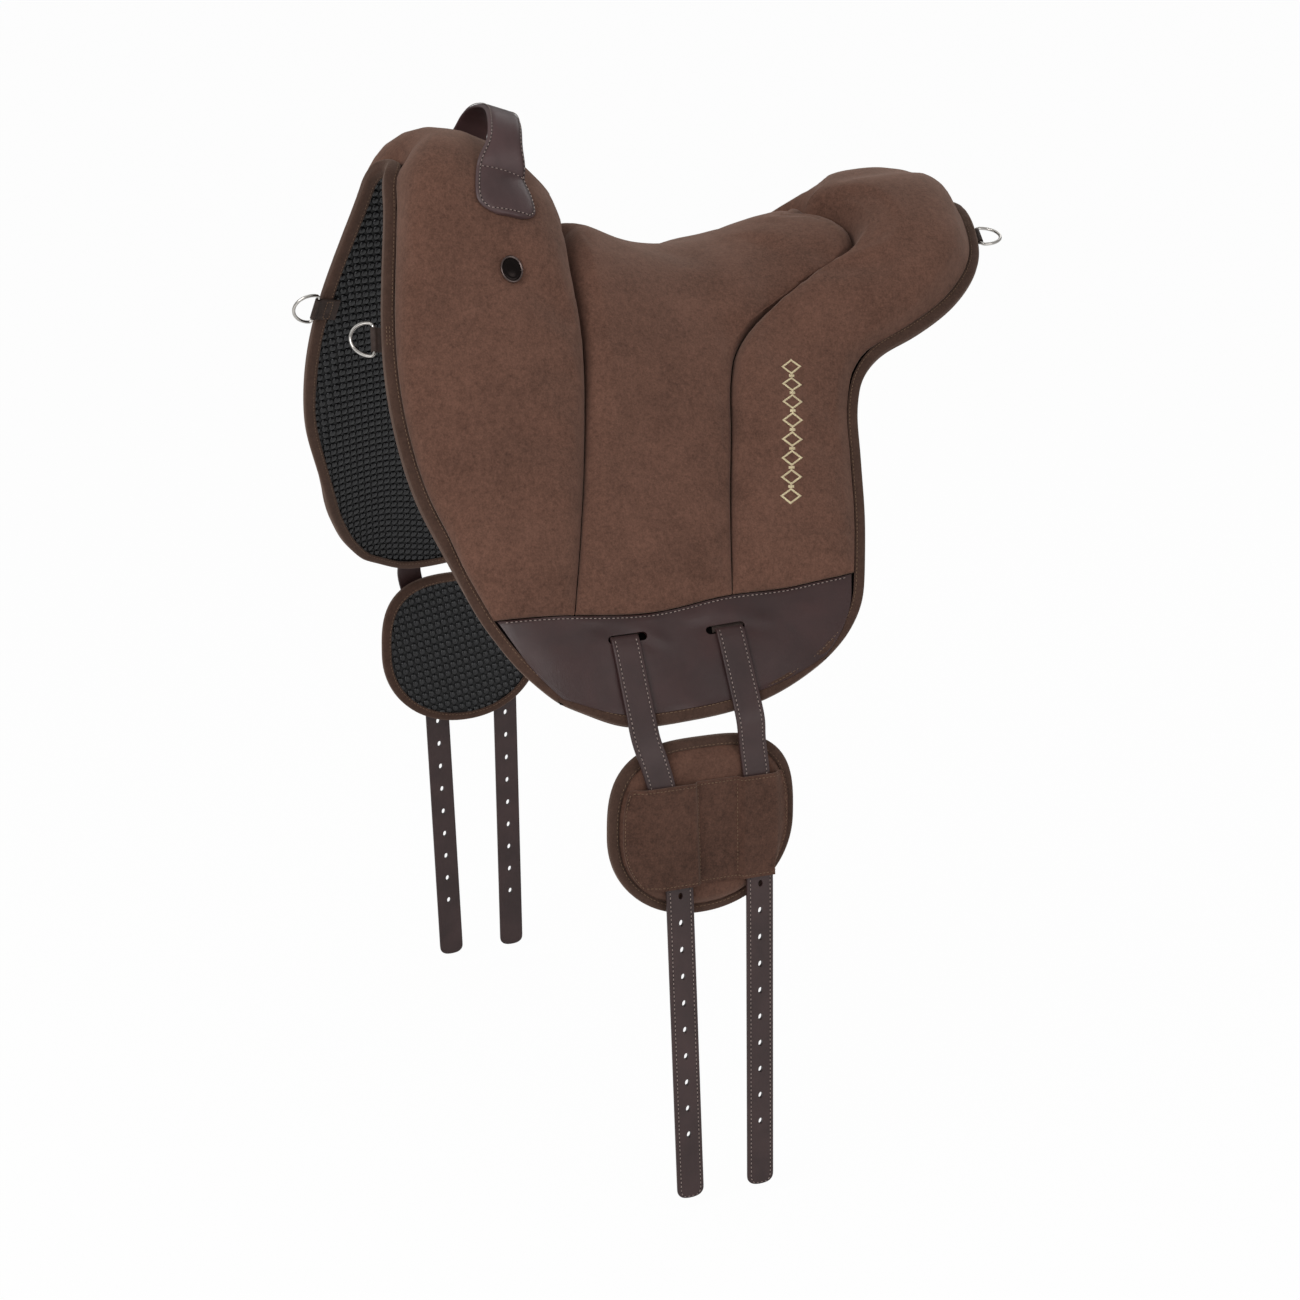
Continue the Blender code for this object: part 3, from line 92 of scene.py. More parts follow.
REAR_SEAM = [(0.158, 0.0), (0.178, 0.020), (0.185, 0.042), (0.180, 0.063), (0.165, 0.077),
             (0.117, 0.090), (0.078, 0.101), (0.049, 0.116), (0.032, 0.133), (0.019, 0.160),
             (0.006, 0.205), (-0.013, 0.274), (-0.032, 0.358)]
FLAP_FRONT = [(-0.250, 0.425), (-0.224, 0.469), (-0.200, 0.494)]
FLAP_BOTTOM = [(-0.200, 0.494), (-0.160, 0.502), (-0.102, 0.483), (-0.026, 0.457), (0.038, 0.430)]
FLAP_REAR = [(0.090, 0.366), (0.081, 0.391), (0.062, 0.414), (0.038, 0.430)]
LINING = 0.0022
CORE = 0.0050
GAP = 0.0003
LEATHER = 0.0022
BINDING = 0.0015
BINDING_WIDTH = 0.0100
SEAM_GAP = 0.0010
EDGE_RISE = 0.0030
BASE = LINING + CORE + 2 * GAP
OVER = BASE + LEATHER
CUSHIONS = {
    "front_panel": dict(index=0, crown=[(0.0, 0.0545), (0.10, 0.050), (0.25, 0.037), (0.50, 0.029),
                                        (1.0, 0.022)],
                        shoulders=((0.030, 0.020), (0.052, 0.018)),
                        levels=((0.70, 0.93), (0.50, 0.90)), crease=0.0),
    "seat_panel": dict(index=1, crown=[(0.0, 0.034), (0.25, 0.028), (0.60, 0.022), (1.0, 0.018)],
                       shoulders=((0.020, 0.016), (0.020, 0.016)),
                       levels=((0.70, 0.95), (0.70, 0.95)), crease=0.0),
    "cantle_panel": dict(index=2, crown=[(0.0, 0.0575), (0.10, 0.055), (0.25, 0.044),
                                         (0.50, 0.032), (1.0, 0.022)],
                         shoulders=((0.030, 0.018), (0.062, 0.022)),
                         levels=((0.60, 0.93), (0.45, 0.90)), crease=0.007),
}
SHOULDER_FADE = 0.30
CREASE_REACH = 0.08
SLOT_YS = (-0.137, -0.042)
SLOT_DROP = 0.267
SLOT_LENGTH = 0.0355
SLOT_SHIFT = (0.0030, -0.0030)
SLOT_HEIGHT = 0.0075
SLOT_ROOM = 0.0030                          # how far the core is pressed down below a slot
BILLET_WIDTH = 0.0254
BILLET = 0.0036
BILLET_CLEARANCE = 0.0006
BILLET_LEAVE = 0.014
BILLET_RISE = 0.009
BILLET_ENDS = [[(-0.126, -0.036), 0.044], [(-0.109, -0.032), -0.050]]
BILLET_TIP_YS = (-0.097, -0.028)
BILLET_TIP_DROP = 0.775
HOLE_PITCH = 0.0254
HOLE_COUNT = 12
HOLE_SIZE = (0.0062, 0.0043)
HOLE_TO_END = 0.062
TIP_LENGTH = 0.0100
TIP_BLUNTNESS = 0.7
GUARD_Y = -0.083
GUARD_DROP = 0.42698
GUARD_HALF = (0.088, 0.0805)
GUARD_POWERS = (3.0, 2.1)
GUARD_PAD = 0.0110
GUARD_RIM = 0.0040
GUARD_LINING = 0.0020
STUD_HEIGHT = 0.0016
STUD_PITCH = (0.0074, 0.0080)
STUD_GAP = 0.0005
STUD_CORNER = 0.0021
STUD_TURN = math.radians(11.0)
STUD_BORDER = 0.0070                        # how far the studs stay from the edge
GUARD_BINDING_WIDTH = 0.0085
GUARD_SHOULDER = 0.0120
GUARD_TOP = (0.026, 0.034, 0.044, 0.055, 0.067)  # insets of the rings on the guard's flat top
SLEEVE = 0.0015
SLEEVE_SPAN = (0.044, -0.050)
SLEEVE_MARGIN = 0.0097
SLEEVE_SIDE = -0.0019
TUNNEL_PLAY = 0.0014
SLEEVE_LIFT = 0.0025
GUARD_TRAVEL = 0.200
RING_SPOTS = {"front": (FRONT_EDGE, 0.165), "rear": (REAR_EDGE, 0.056)}
RING_WIRE = 0.0030
RING_INSIDE = 0.0270
RING_DEPTH = 0.0240
RING_OUT = 0.0055
TAB = 0.0012
TAB_WIDTH = 0.0220
TAB_TAIL = 0.0160
HANDLE = 0.0050
HANDLE_APEX = (-0.1475, 0.1639)            # y and z at the middle of its top
HANDLE_TILT = 19.2                         # how far the top leans to the rear
HANDLE_FOOT = (-0.1865, 0.0325)
HANDLE_WIDTHS = (0.049, 0.0585, 0.033)     # at the stitch line, the widest of the spade, the top
SPADE_LENGTH = 0.0325
SPADE_TIP_Y = -0.1815
HANDLE_TWIST = 0.0075                      # how far its off foot sits behind the near one
FOOT_LINE = [(-0.250, 0.425), (-0.175, 0.411), (-0.100, 0.3845), (-0.032, 0.3615),
             (0.030, 0.3605), (0.090, 0.366)]   # where the cushions meet the leather flap
BADGE = (-0.181, 0.106, 0.021, 0.025)      # y, s, width, height
PUCKERS = ((0.00055, 0.016), (0.0007, 0.075), (0.00018, 0.030))  # heights and sizes
SPADE_DENT = (-0.185, 0.040, 0.031, 0.032)  # y, s and the two radii of the hollow under the spade
LOZENGES = ((0.076, 0.160), (0.036, 0.293), 8)  # the motif's two ends and its count

# Stitches: how far apart and how long in each kind of row, and the threads' radii
LEATHER_ROW = (0.0040, 0.0022)
TAPE_ROW = (0.0038, 0.0026)
POCKET_ROW = (0.0034, 0.0023)
TAB_ROW = (0.0030, 0.0021)
STITCH_JITTER = 0.00008
STITCH_LIFT = 0.00005
STRAP_INSET = 0.0032
THREAD_RADIUS = 0.00039
MARK_RADIUS = 0.00036
FINE_RADIUS = 0.00034
GOLD_RADIUS = 0.00040
MARK_DEPTH = 0.00012
LAID_FROM = 0.10                            # how high above the back the rays start

SIDES = ((1.0, "near"), (-1.0, "off"))
OUTWARD = np.array([1.0, 0.0, 0.0])
WHITE = (1.0, 1.0, 1.0, 1.0)

RNG = np.random.default_rng(7)


# Numbers on curves and surfaces

def hermite(points, t):
    """Reads rows of (t, value, ...) at many t, on a smooth curve through the rows."""
    rows = np.array(points, dtype=float)
    keys = rows[:, 0]
    t = np.clip(np.atleast_1d(np.asarray(t, dtype=float)), keys[0], keys[-1])
    slopes = np.gradient(rows[:, 1:], keys, axis=0)
    k = np.clip(np.searchsorted(keys, t, side="right") - 1, 0, len(keys) - 2)
    span = (keys[k + 1] - keys[k])[:, None]
    f = (t - keys[k])[:, None] / span
    value = (2 * f**3 - 3 * f**2 + 1) * rows[k, 1:] + (f**3 - 2 * f**2 + f) * span * slopes[k]
    return value + (3 * f**2 - 2 * f**3) * rows[k + 1, 1:] + (f**3 - f**2) * span * slopes[k + 1]


def unit(v):
    """Vectors of length one."""
    v = np.asarray(v, dtype=float)
    return v / np.maximum(np.linalg.norm(v, axis=-1, keepdims=True), 1e-12)


def runs_of(points):
    """Distance along a line of points."""
    return np.concatenate([[0.0], np.cumsum(np.linalg.norm(np.diff(points, axis=0), axis=1))])


def resample(points, stops):
    """Points at given distances along a line."""
    run = runs_of(points)
    return np.column_stack([np.interp(stops, run, points[:, k]) for k in range(points.shape[1])])


def evenly(points, pitch):
    """The line with its points about a pitch apart."""
    length = runs_of(points)[-1]
    return resample(points, np.linspace(0.0, length, max(2, int(round(length / pitch)) + 1)))


def smoothed(points, rounds, closed=False):
    """A line with each point drawn towards its neighbours."""
    points = np.array(points, dtype=float)
    for _ in range(rounds):
        if closed:
            points = (np.roll(points, 1, 0) + 2 * points + np.roll(points, -1, 0)) / 4
        else:
            points[1:-1] = (points[:-2] + 2 * points[1:-1] + points[2:]) / 4
    return points


class Line:
    """A smooth line through pattern points, read by its share of length."""

    def __init__(self, points):
        points = np.array(points, dtype=float)
        rows = np.column_stack([runs_of(points), points])
        self.fine = hermite(rows, np.linspace(0.0, rows[-1, 0], 240))
        self.run = runs_of(self.fine)
        self.length = self.run[-1]

    def at(self, share):
        return resample(self.fine, np.atleast_1d(share) * self.length)

    def direction(self, share):
        share = np.atleast_1d(share)
        return unit(self.at(np.minimum(share + 0.01, 1.0)) - self.at(np.maximum(share - 0.01, 0.0)))

    def share_at_s(self, s):
        return self.run[int(np.argmax(self.fine[:, 1] >= s))] / self.length


class Back:
    """The underside of the pad, draped over the horse's back."""

    def __init__(self):
        self.ys = np.arange(BACK_STATIONS[0][0], BACK_STATIONS[-1][0] + TABLE_STEP, TABLE_STEP)
        self.runs = np.arange(0.0, TABLE_SIDE, TABLE_STEP)
        height, crest, side, turn = hermite(BACK_STATIONS, self.ys).T[:, :, None]
        angle = side * (1.0 - np.exp(-self.runs / crest))
        angle = angle + FLAP_TURN * np.clip(self.runs - turn, 0.0, None)
        angle = np.radians(np.minimum(angle, STEEPEST))
        middle = (angle[:, 1:] + angle[:, :-1]) / 2
        zero = np.zeros((len(self.ys), 1))
        self.across = np.hstack([zero, np.cumsum(np.cos(middle) * TABLE_STEP, axis=1)])
        self.heights = height - np.hstack([zero, np.cumsum(np.sin(middle) * TABLE_STEP, axis=1)])

    def read(self, table, y, s):
        row = (np.clip(y, self.ys[0], self.ys[-1]) - self.ys[0]) / TABLE_STEP
        low = np.minimum(row.astype(int), len(self.ys) - 2)
        column = np.clip(s / TABLE_STEP, 0, len(self.runs) - 1.001)
        left = column.astype(int)
        f, g = row - low, column - left
        near = table[low, left] * (1 - g) + table[low, left + 1] * g
        far = table[low + 1, left] * (1 - g) + table[low + 1, left + 1] * g
        return near + (far - near) * f

    def point(self, y, s):
        y, s = np.broadcast_arrays(np.asarray(y, dtype=float), np.asarray(s, dtype=float))
        side = np.where(s < 0, -1.0, 1.0)
        down = np.abs(s)
        return np.stack([side * self.read(self.across, y, down), y,
                         self.read(self.heights, y, down)], axis=-1)

    def normal(self, y, s):
        step = 0.006
        along = self.point(y + step, s) - self.point(y - step, s)
        down = self.point(y, s + step) - self.point(y, s - step)
        return unit(np.cross(down, along))

    def lifted(self, y, s, height):
        y, s = np.asarray(y, dtype=float), np.asarray(s, dtype=float)
        return self.point(y, s) + self.normal(y, s) * np.asarray(height)[..., None]

    def s_at_height(self, y, z):
        column = self.point(np.full(len(self.runs), y), self.runs)[:, 2]
        return float(np.interp(-z, -column, self.runs))


BACK = Back()
LINES = [Line(points) for points in (FRONT_EDGE, FRONT_SEAM, REAR_SEAM, REAR_EDGE)]


def noise(points, size, seed=0.0):
    """Smooth bumps of about a size, between -1 and 1, made of waves in fixed directions."""
    rng = np.random.default_rng(int(seed) + 11)
    total = np.zeros(points.shape[:-1])
    for _ in range(9):
        way = unit(rng.normal(size=3)) * 2 * np.pi / (size * rng.uniform(0.7, 1.5))
        total = total + np.sin(points @ way + rng.uniform(0, 6.28))
    return total / 4.5

# Materials

def add_node(tree, kind, links=None, **values):
    """A node with its properties set and its inputs set or linked."""
    node = tree.nodes.new(kind)
    for key, value in values.items():
        setattr(node, key, value)
    for key, value in (links or {}).items():
        if isinstance(value, bpy.types.NodeSocket):
            tree.links.new(value, node.inputs[key])
        else:
            node.inputs[key].default_value = value
    return node


def shade(colour, by):
    return tuple(min(1.0, c * by) for c in colour)


class Finish:
    """A Principled material under construction, in the object's own coordinates."""

    def __init__(self, name, colour, roughness, metallic=0.0, shine=0.5):
        self.made = bpy.data.materials.new(name)
        self.made.use_nodes = True
        self.tree = self.made.node_tree
        self.shader = self.tree.nodes["Principled BSDF"]
        self.set({"Base Color": (*colour, 1.0), "Roughness": roughness, "Metallic": metallic,
                  "Specular IOR Level": shine})

    def set(self, values):
        for key, value in values.items():
            self.shader.inputs[key].default_value = value

    def texture(self, kind, out, links, **values):
        where = add_node(self.tree, "ShaderNodeTexCoord").outputs["Object"]
        return add_node(self.tree, kind, {"Vector": where, **links}, **values).outputs[out]

    def spots(self, scale, detail=2.0, rough=0.5, distort=0.0):
        """The height of a noise texture."""
        return self.texture("ShaderNodeTexNoise", "Fac", {
            "Scale": scale, "Detail": detail, "Roughness": rough, "Distortion": distort})

    def sum(self, *terms):
        """The sum of textures times their shares."""
        total = None
        for value, share in terms:
            links = {0: value, 1: share} if total is None else {0: value, 1: share, 2: total}
            kind = "MULTIPLY" if total is None else "MULTIPLY_ADD"
            total = add_node(self.tree, "ShaderNodeMath", links, operation=kind).outputs[0]
        return total

    def ramp(self, factor, stops):
        """A colour ramp, or a ramp of grey values."""
        node = add_node(self.tree, "ShaderNodeValToRGB", {"Fac": factor})
        marks = node.color_ramp.elements
        while len(marks) < len(stops):
            marks.new(0.5)
        for mark, (spot, value) in zip(marks, stops):
            mark.position = spot
            mark.color = (*value, 1.0) if isinstance(value, tuple) else (value, value, value, 1.0)
        return node.outputs["Color"]

    def done(self, colours, factor, cloud, gloss, height, strength, depth):
        """Links colours over a factor, two roughnesses over a cloud and a bump."""
        link, inputs = self.tree.links.new, self.shader.inputs
        link(self.ramp(factor, colours), inputs["Base Color"])
        link(self.ramp(cloud, [(0.3, gloss[0]), (0.7, gloss[1])]), inputs["Roughness"])
        bump = add_node(self.tree, "ShaderNodeBump",
                        {"Strength": strength, "Distance": depth, "Height": height})
        link(bump.outputs["Normal"], inputs["Normal"])
        return self.made


def suede(name, colour, contrast=1.0, pile=1.0):
    """Brushed suede: patches of turned nap, fine flecks, a soft sheen and a short pile."""
    made = Finish(name, colour, 0.93, shine=0.15)
    made.set({"Sheen Weight": 0.30, "Sheen Roughness": 0.55, "Sheen Tint": (0.75, 0.55, 0.45, 1.0)})
    patches, cloud = made.spots(14.0, 3.0, 0.55, 0.6), made.spots(55.0, 4.0, 0.6, 0.8)
    fleck, grain = made.spots(620.0, 2.0, 0.7), made.spots(240.0, 3.0, 0.7)
    mixed = made.sum((cloud, 0.16), (patches, 0.20), (grain, 0.34), (fleck, 0.30))
    colours = [(0.36, shade(colour, 1 - 0.36 * contrast)), (0.50, colour),
               (0.64, shade(colour, 1 + 0.34 * contrast))]
    height = made.sum((cloud, 0.8), (fleck, 0.6))
    return made.done(colours, mixed, cloud, (0.97, 0.86), height, 0.35 * pile, 0.0012)


def leather(name, colour, roughness=0.42, grain=1.0):
    """Smooth finished leather with a fine pebble, pores, and a slight change of colour."""
    made = Finish(name, colour, roughness)
    cells = made.texture("ShaderNodeTexVoronoi", "Distance", {"Scale": 780.0, "Randomness": 1.0},
                         feature="DISTANCE_TO_EDGE")
    cloud, fine = made.spots(26.0, 3.0, 0.55, 0.4), made.spots(1500.0, 2.0, 0.6)
    colours = [(0.32, shade(colour, 0.78)), (0.52, colour), (0.72, shade(colour, 1.22))]
    pebble = made.ramp(cells, [(0.0, 0.0), (0.12, 1.0)])
    height = made.sum((pebble, 1.0), (fine, 0.35))
    return made.done(colours, cloud, cloud, (roughness + 0.07, roughness - 0.05), height,
                     0.16 * grain, 0.0004)


def rubber(name, colour, roughness):
    """Black moulded rubber, glossy where it is worn and dull between."""
    made = Finish(name, colour, roughness)
    cloud, fine = made.spots(90.0, 3.0, 0.6), made.spots(1300.0, 2.0, 0.6)
    colours = [(0.3, shade(colour, 0.7)), (0.7, shade(colour, 1.3))]
    gloss = (roughness - 0.05, roughness + 0.09)
    return made.done(colours, cloud, cloud, gloss, fine, 0.12, 0.0003)


def woven(name, colour, scale, roughness=0.8, shine=0.5):
    """A closely woven or twisted thread."""
    made = Finish(name, colour, roughness, shine=shine)
    twist = made.texture("ShaderNodeTexWave", "Fac", {"Scale": scale, "Distortion": 1.5,
                                                      "Detail": 1.0}, bands_direction="DIAGONAL")
    cloud = made.spots(160.0, 2.0)
    colours = [(0.25, shade(colour, 0.6)), (0.75, shade(colour, 1.35))]
    mixed = made.sum((cloud, 0.5), (twist, 0.5))
    gloss = (roughness + 0.08, roughness - 0.08)
    return made.done(colours, mixed, cloud, gloss, twist, 0.4, 0.0003)


def metal(name, colour, roughness):
    """Plated metal with faint brushing and a little tarnish."""
    made = Finish(name, colour, roughness, metallic=1.0)
    cloud, fine = made.spots(220.0, 3.0, 0.6), made.spots(2600.0, 2.0)
    colours = [(0.35, shade(colour, 0.80)), (0.60, colour)]
    return made.done(colours, cloud, cloud, (roughness + 0.10, roughness), fine, 0.05, 0.0002)


SUEDE = suede("suede_brown", (0.121, 0.058, 0.040), 1.25)
SUEDE_DARK = suede("suede_sleeve", (0.074, 0.035, 0.024), 1.7, 1.4)
SUEDE_GUARD = suede("suede_guard", (0.100, 0.048, 0.033), 1.2, 1.2)
TAPE = suede("suede_binding", (0.060, 0.032, 0.023), 0.9, 1.2)
HIDE = leather("leather_flap", (0.042, 0.0185, 0.0175), 0.36)
STRAP = leather("leather_strap", (0.042, 0.020, 0.019), 0.42, 1.2)
GRIP = leather("leather_handle", (0.074, 0.040, 0.040), 0.42)
# The sheet between the studs is darker than the studs, as painted shade in the gaps; both are the
# same black rubber.
RUBBER_GAP_SHADE = rubber("rubber_sheet_gap_shade", (0.0035, 0.0035, 0.004), 0.55)
STUD = rubber("rubber_studs", (0.0120, 0.0120, 0.0133), 0.20)
# The core's cover is near-black with almost no shine, as painted shade inside the slot openings.
CORE_SLOT_SHADE = woven("core_cover_slot_shade", (0.0030, 0.0020, 0.0018), 900.0, 0.9, 0.05)
WEB = woven("webbing_brown", (0.042, 0.024, 0.018), 1400.0, 0.75)
# Near-black leather for the needle marks between the stitches: painted shade in the needle holes
# and pressed grooves.
GROOVE_SHADE = leather("leather_groove_shade", (0.006, 0.003, 0.003), 0.60)
THREAD = woven("thread_taupe", (0.36, 0.28, 0.25), 2600.0)
THREAD_DARK = woven("thread_brown", (0.19, 0.115, 0.068), 2600.0)
THREAD_GOLD = woven("thread_gold", (0.86, 0.66, 0.42), 2200.0, 0.45)
NICKEL = metal("nickel_plate", (0.72, 0.69, 0.65), 0.13)
ENAMEL = metal("badge_dark", (0.022, 0.017, 0.016), 0.24)
GUNMETAL = metal("badge_edge", (0.16, 0.12, 0.11), 0.26)


# Pieces

def piece(name, points, faces, finish, body=None, stands_for=(), slot=None, sharp=None,
          closed=True):
    """A mesh object, riding on a body if one is given; closed skins get their faces turned out."""
    mesh = bpy.data.meshes.new(name)
    mesh.from_pydata(np.asarray(points).reshape(-1, 3).tolist(), [], [tuple(f) for f in faces])
    if closed:
        mesh.validate()
        bm = bmesh.new()
        bm.from_mesh(mesh)
        bmesh.ops.recalc_face_normals(bm, faces=bm.faces[:])
        if bm.calc_volume(signed=True) < 0.0:
            bmesh.ops.reverse_faces(bm, faces=bm.faces[:])
        bm.to_mesh(mesh)
        bm.free()
    mesh.shade_smooth()
    if sharp is not None:
        mesh.set_sharp_from_angle(angle=math.radians(sharp))
    mesh.materials.append(finish)
    obj = bpy.data.objects.new(name, mesh)
    bpy.context.scene.collection.objects.link(obj)
    if body:
        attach(obj, body)
    if stands_for:
        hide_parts(*stands_for)
    return obj


def cut_out(obj, tool, angle):
    """Cuts a tool's shape out of a piece; edges steeper than the angle stay sharp."""
    cut = obj.modifiers.new("cut", "BOOLEAN")
    cut.operation = "DIFFERENCE"
    cut.solver = "EXACT"
    cut.object = tool
    bpy.context.view_layer.update()
    graph = bpy.context.evaluated_depsgraph_get()
    made = bpy.data.meshes.new_from_object(obj.evaluated_get(graph))
    obj.modifiers.clear()
    obj.data = made
    bpy.data.objects.remove(tool)
    made.shade_smooth()
    made.set_sharp_from_angle(angle=math.radians(angle))


def quads(rows, columns, start=0, closed=False, flip=False):
    """Faces of a net of points, row by row; closed joins the last column to the first."""
    j, i = np.meshgrid(np.arange(rows - 1), np.arange(columns if closed else columns - 1),
                       indexing="ij")
    after = (i + 1) % columns
    faces = np.stack([j * columns + i, j * columns + after, (j + 1) * columns + after,
                      (j + 1) * columns + i], axis=-1).reshape(-1, 4) + start
    return faces[:, ::-1] if flip else faces


def slab(upper, lower):
    """Points and faces of a closed sheet between two nets of the same size."""
    rows, columns = upper.shape[:2]
    count = rows * columns
    ring = [j * columns for j in range(rows)]
    ring += [(rows - 1) * columns + i for i in range(1, columns)]
    ring += [j * columns + columns - 1 for j in range(rows - 2, -1, -1)]
    ring = np.array(ring + list(range(columns - 2, 0, -1)))
    after = np.roll(ring, -1)
    wall = np.stack([ring, after, after + count, ring + count], axis=-1)
    faces = [quads(rows, columns), quads(rows, columns, count, flip=True), wall]
    return np.concatenate([upper.reshape(-1, 3), lower.reshape(-1, 3)]), np.concatenate(faces)


def tube(sections, closed=False):
    """Points and faces of a skin over rings of points; open ones get end caps."""
    sections = np.asarray(sections)
    rows, columns = sections.shape[:2]
    faces = quads(rows, columns, closed=True).tolist()
    if closed:
        last = (rows - 1) * columns
        faces += [(last + i, last + (i + 1) % columns, (i + 1) % columns, i)
                  for i in range(columns)]
    else:
        faces += [tuple(range(columns)), tuple(range((rows - 1) * columns, rows * columns))[::-1]]
    return sections.reshape(-1, 3), faces


def band_profile(half, thick, groove=0.0, inset=STRAP_INSET, round_edge=0.0011):
    """Cross-section of a strap, (across, height) round its outline, with a groove by each edge."""
    turn = np.radians([90, 60, 30, 0])
    h = thick / 2
    r = min(round_edge, h * 0.98)
    lip = 0.0012
    right = [(w, h) for w in np.linspace(0.0, half - inset - lip, 4)]
    right += [(half - inset, h - groove), (half - inset + lip, h)]
    right += [(half - r + r * math.cos(t), h - r + r * math.sin(t)) for t in turn]
    right += [(half - r + r * math.cos(t), -h + r - r * math.sin(t)) for t in turn[::-1]]
    right += [(half * 0.4, -h)]
    left = [(-w, z) for w, z in right[::-1] if w > 0]
    return np.array(right + left)


def ribbon(centres, outward, half, thick, **shape):
    """Rings of a strap along a line, with its face towards outward; half may vary along it."""
    centres = np.asarray(centres)
    along = unit(np.gradient(centres, axis=0))
    across = unit(np.cross(outward, along))
    face = unit(np.cross(along, across))
    halves = np.broadcast_to(half, (len(centres),))
    widest = float(np.max(halves))
    profile = band_profile(widest, thick, **shape)
    rings = []
    for k, centre in enumerate(centres):
        part = profile.copy()
        part[:, 0] = np.sign(part[:, 0]) * np.maximum(np.abs(part[:, 0]) - widest + halves[k], 0.0)
        part[:, 0] += profile[:, 0] * 1e-4
        rings.append(centre + part[:, :1] * across[k] + part[:, 1:] * face[k])
    return np.array(rings), across, face


# One stitch: a short thread that rises out of the surface and dives back in
STITCH_RINGS = [(0.0, 0.45, -0.9), (0.14, 0.95, 0.1), (0.5, 1.0, 0.45), (0.86, 0.95, 0.1),
                (1.0, 0.45, -0.9)]
STITCH_SIDES = 6


def stitches(name, rows, finish, body, radius, slot):
    """All the stitches of some rows; a row is (starts, ends, outward ways)."""
    starts, ends, up = (np.concatenate([row[k] for row in rows]) for k in range(3))
    along = ends - starts
    across = unit(np.cross(unit(up), along))
    up = unit(np.cross(along, across))
    turns = np.radians(np.arange(0, 360, 360 // STITCH_SIDES))
    template = np.array([(t, wide * math.cos(a) * radius, (wide * math.sin(a) + lift) * radius)
                         for t, wide, lift in STITCH_RINGS for a in turns])
    points = (starts[:, None] + along[:, None] * template[None, :, :1]
              + across[:, None] * template[None, :, 1:2] + up[:, None] * template[None, :, 2:])
    size = len(template)
    first = np.arange(len(starts)) * size
    one = quads(len(STITCH_RINGS), STITCH_SIDES, closed=True)
    faces = (one[None] + first[:, None, None]).reshape(-1, 4).tolist()
    for k in first:
        faces.append(tuple(range(k, k + STITCH_SIDES))[::-1])
        faces.append(tuple(range(k + size - STITCH_SIDES, k + size)))
    piece(name, points, faces, finish, body, slot=slot, closed=False)


def row_of(points, up, pitch=LEATHER_ROW[0], length=LEATHER_ROW[1]):
    """Starts, ends and outward ways of the stitches along a line."""
    points, up = np.asarray(points), np.broadcast_to(up, np.shape(points))
    run = runs_of(points)
    count = max(1, int((run[-1] - length) / pitch))
    stops = (np.arange(count) + 0.5) * (run[-1] / count) - length / 2
    stops = stops + RNG.normal(0.0, STITCH_JITTER, count)
    ways = np.column_stack([np.interp(stops + length / 2, run, up[:, k]) for k in range(3)])
    return resample(points, stops), resample(points, stops + length), ways


def holes_of(rows):
    """The short stretches between the stitches, where the needle has pressed the leather down."""
    return [(ends[:-1] - ways[:-1] * MARK_DEPTH, starts[1:] - ways[:-1] * MARK_DEPTH, ways[:-1])
            for starts, ends, ways in rows]


def tree_of(obj):
    """The faces of a piece, for laying other pieces on it."""
    return BVHTree.FromObject(obj, bpy.context.evaluated_depsgraph_get())


def laid(tree, y, s, gap):
    """Points at a gap above a piece, over pattern points, and the outward ways there."""
    ways = BACK.normal(y, s)
    found = []
    for start, way in zip(BACK.lifted(y, s, LAID_FROM), ways):
        hit = tree.ray_cast(Vector(start), -Vector(way))[0]
        found.append(np.array(hit) if hit is not None else start - way * (LAID_FROM - 0.010))
    return np.array(found) + ways * gap, ways


def ease(x):
    """Goes smoothly from 0 to 1."""
    x = np.clip(x, 0.0, 1.0)
    return x * x * (3 - 2 * x)


# The cushions

def fade(pair, share):
    """Goes from the first of a pair to the second, away from the spine."""
    return pair[0] + (pair[1] - pair[0]) * ease(share / SHOULDER_FADE)


def rounding(levels):
    """Steepness and shape of a shoulder that reaches its two stated levels."""
    first, last = (-math.log(1 - level) for level in levels)
    return last, math.log(last / first) / math.log(1 / 0.3)


def rim_line(line, towards, share):
    """The inner edge of the binding beside an edge line."""
    edge = line.at(share)
    way = unit(towards - edge)
    tangent = line.direction(share)
    square = np.abs(way[:, 0] * tangent[:, 1] - way[:, 1] * tangent[:, 0])
    return edge + way * (BINDING_WIDTH / np.maximum(square, 0.5))[:, None]


def foot_s(y):
    """The s of the seam between the cushions and the leather flap."""
    return hermite(FOOT_LINE, y)[:, 0]


def cushion_sides(index, share):
    """The front and rear edges of a cushion, as pattern points at shares of its seams."""
    seam = [line.at(share) for line in LINES]
    sides = [rim_line(LINES[0], seam[1], share), seam[1], seam[2],
             rim_line(LINES[3], seam[2], share)]
    return sides[index], sides[index + 1]


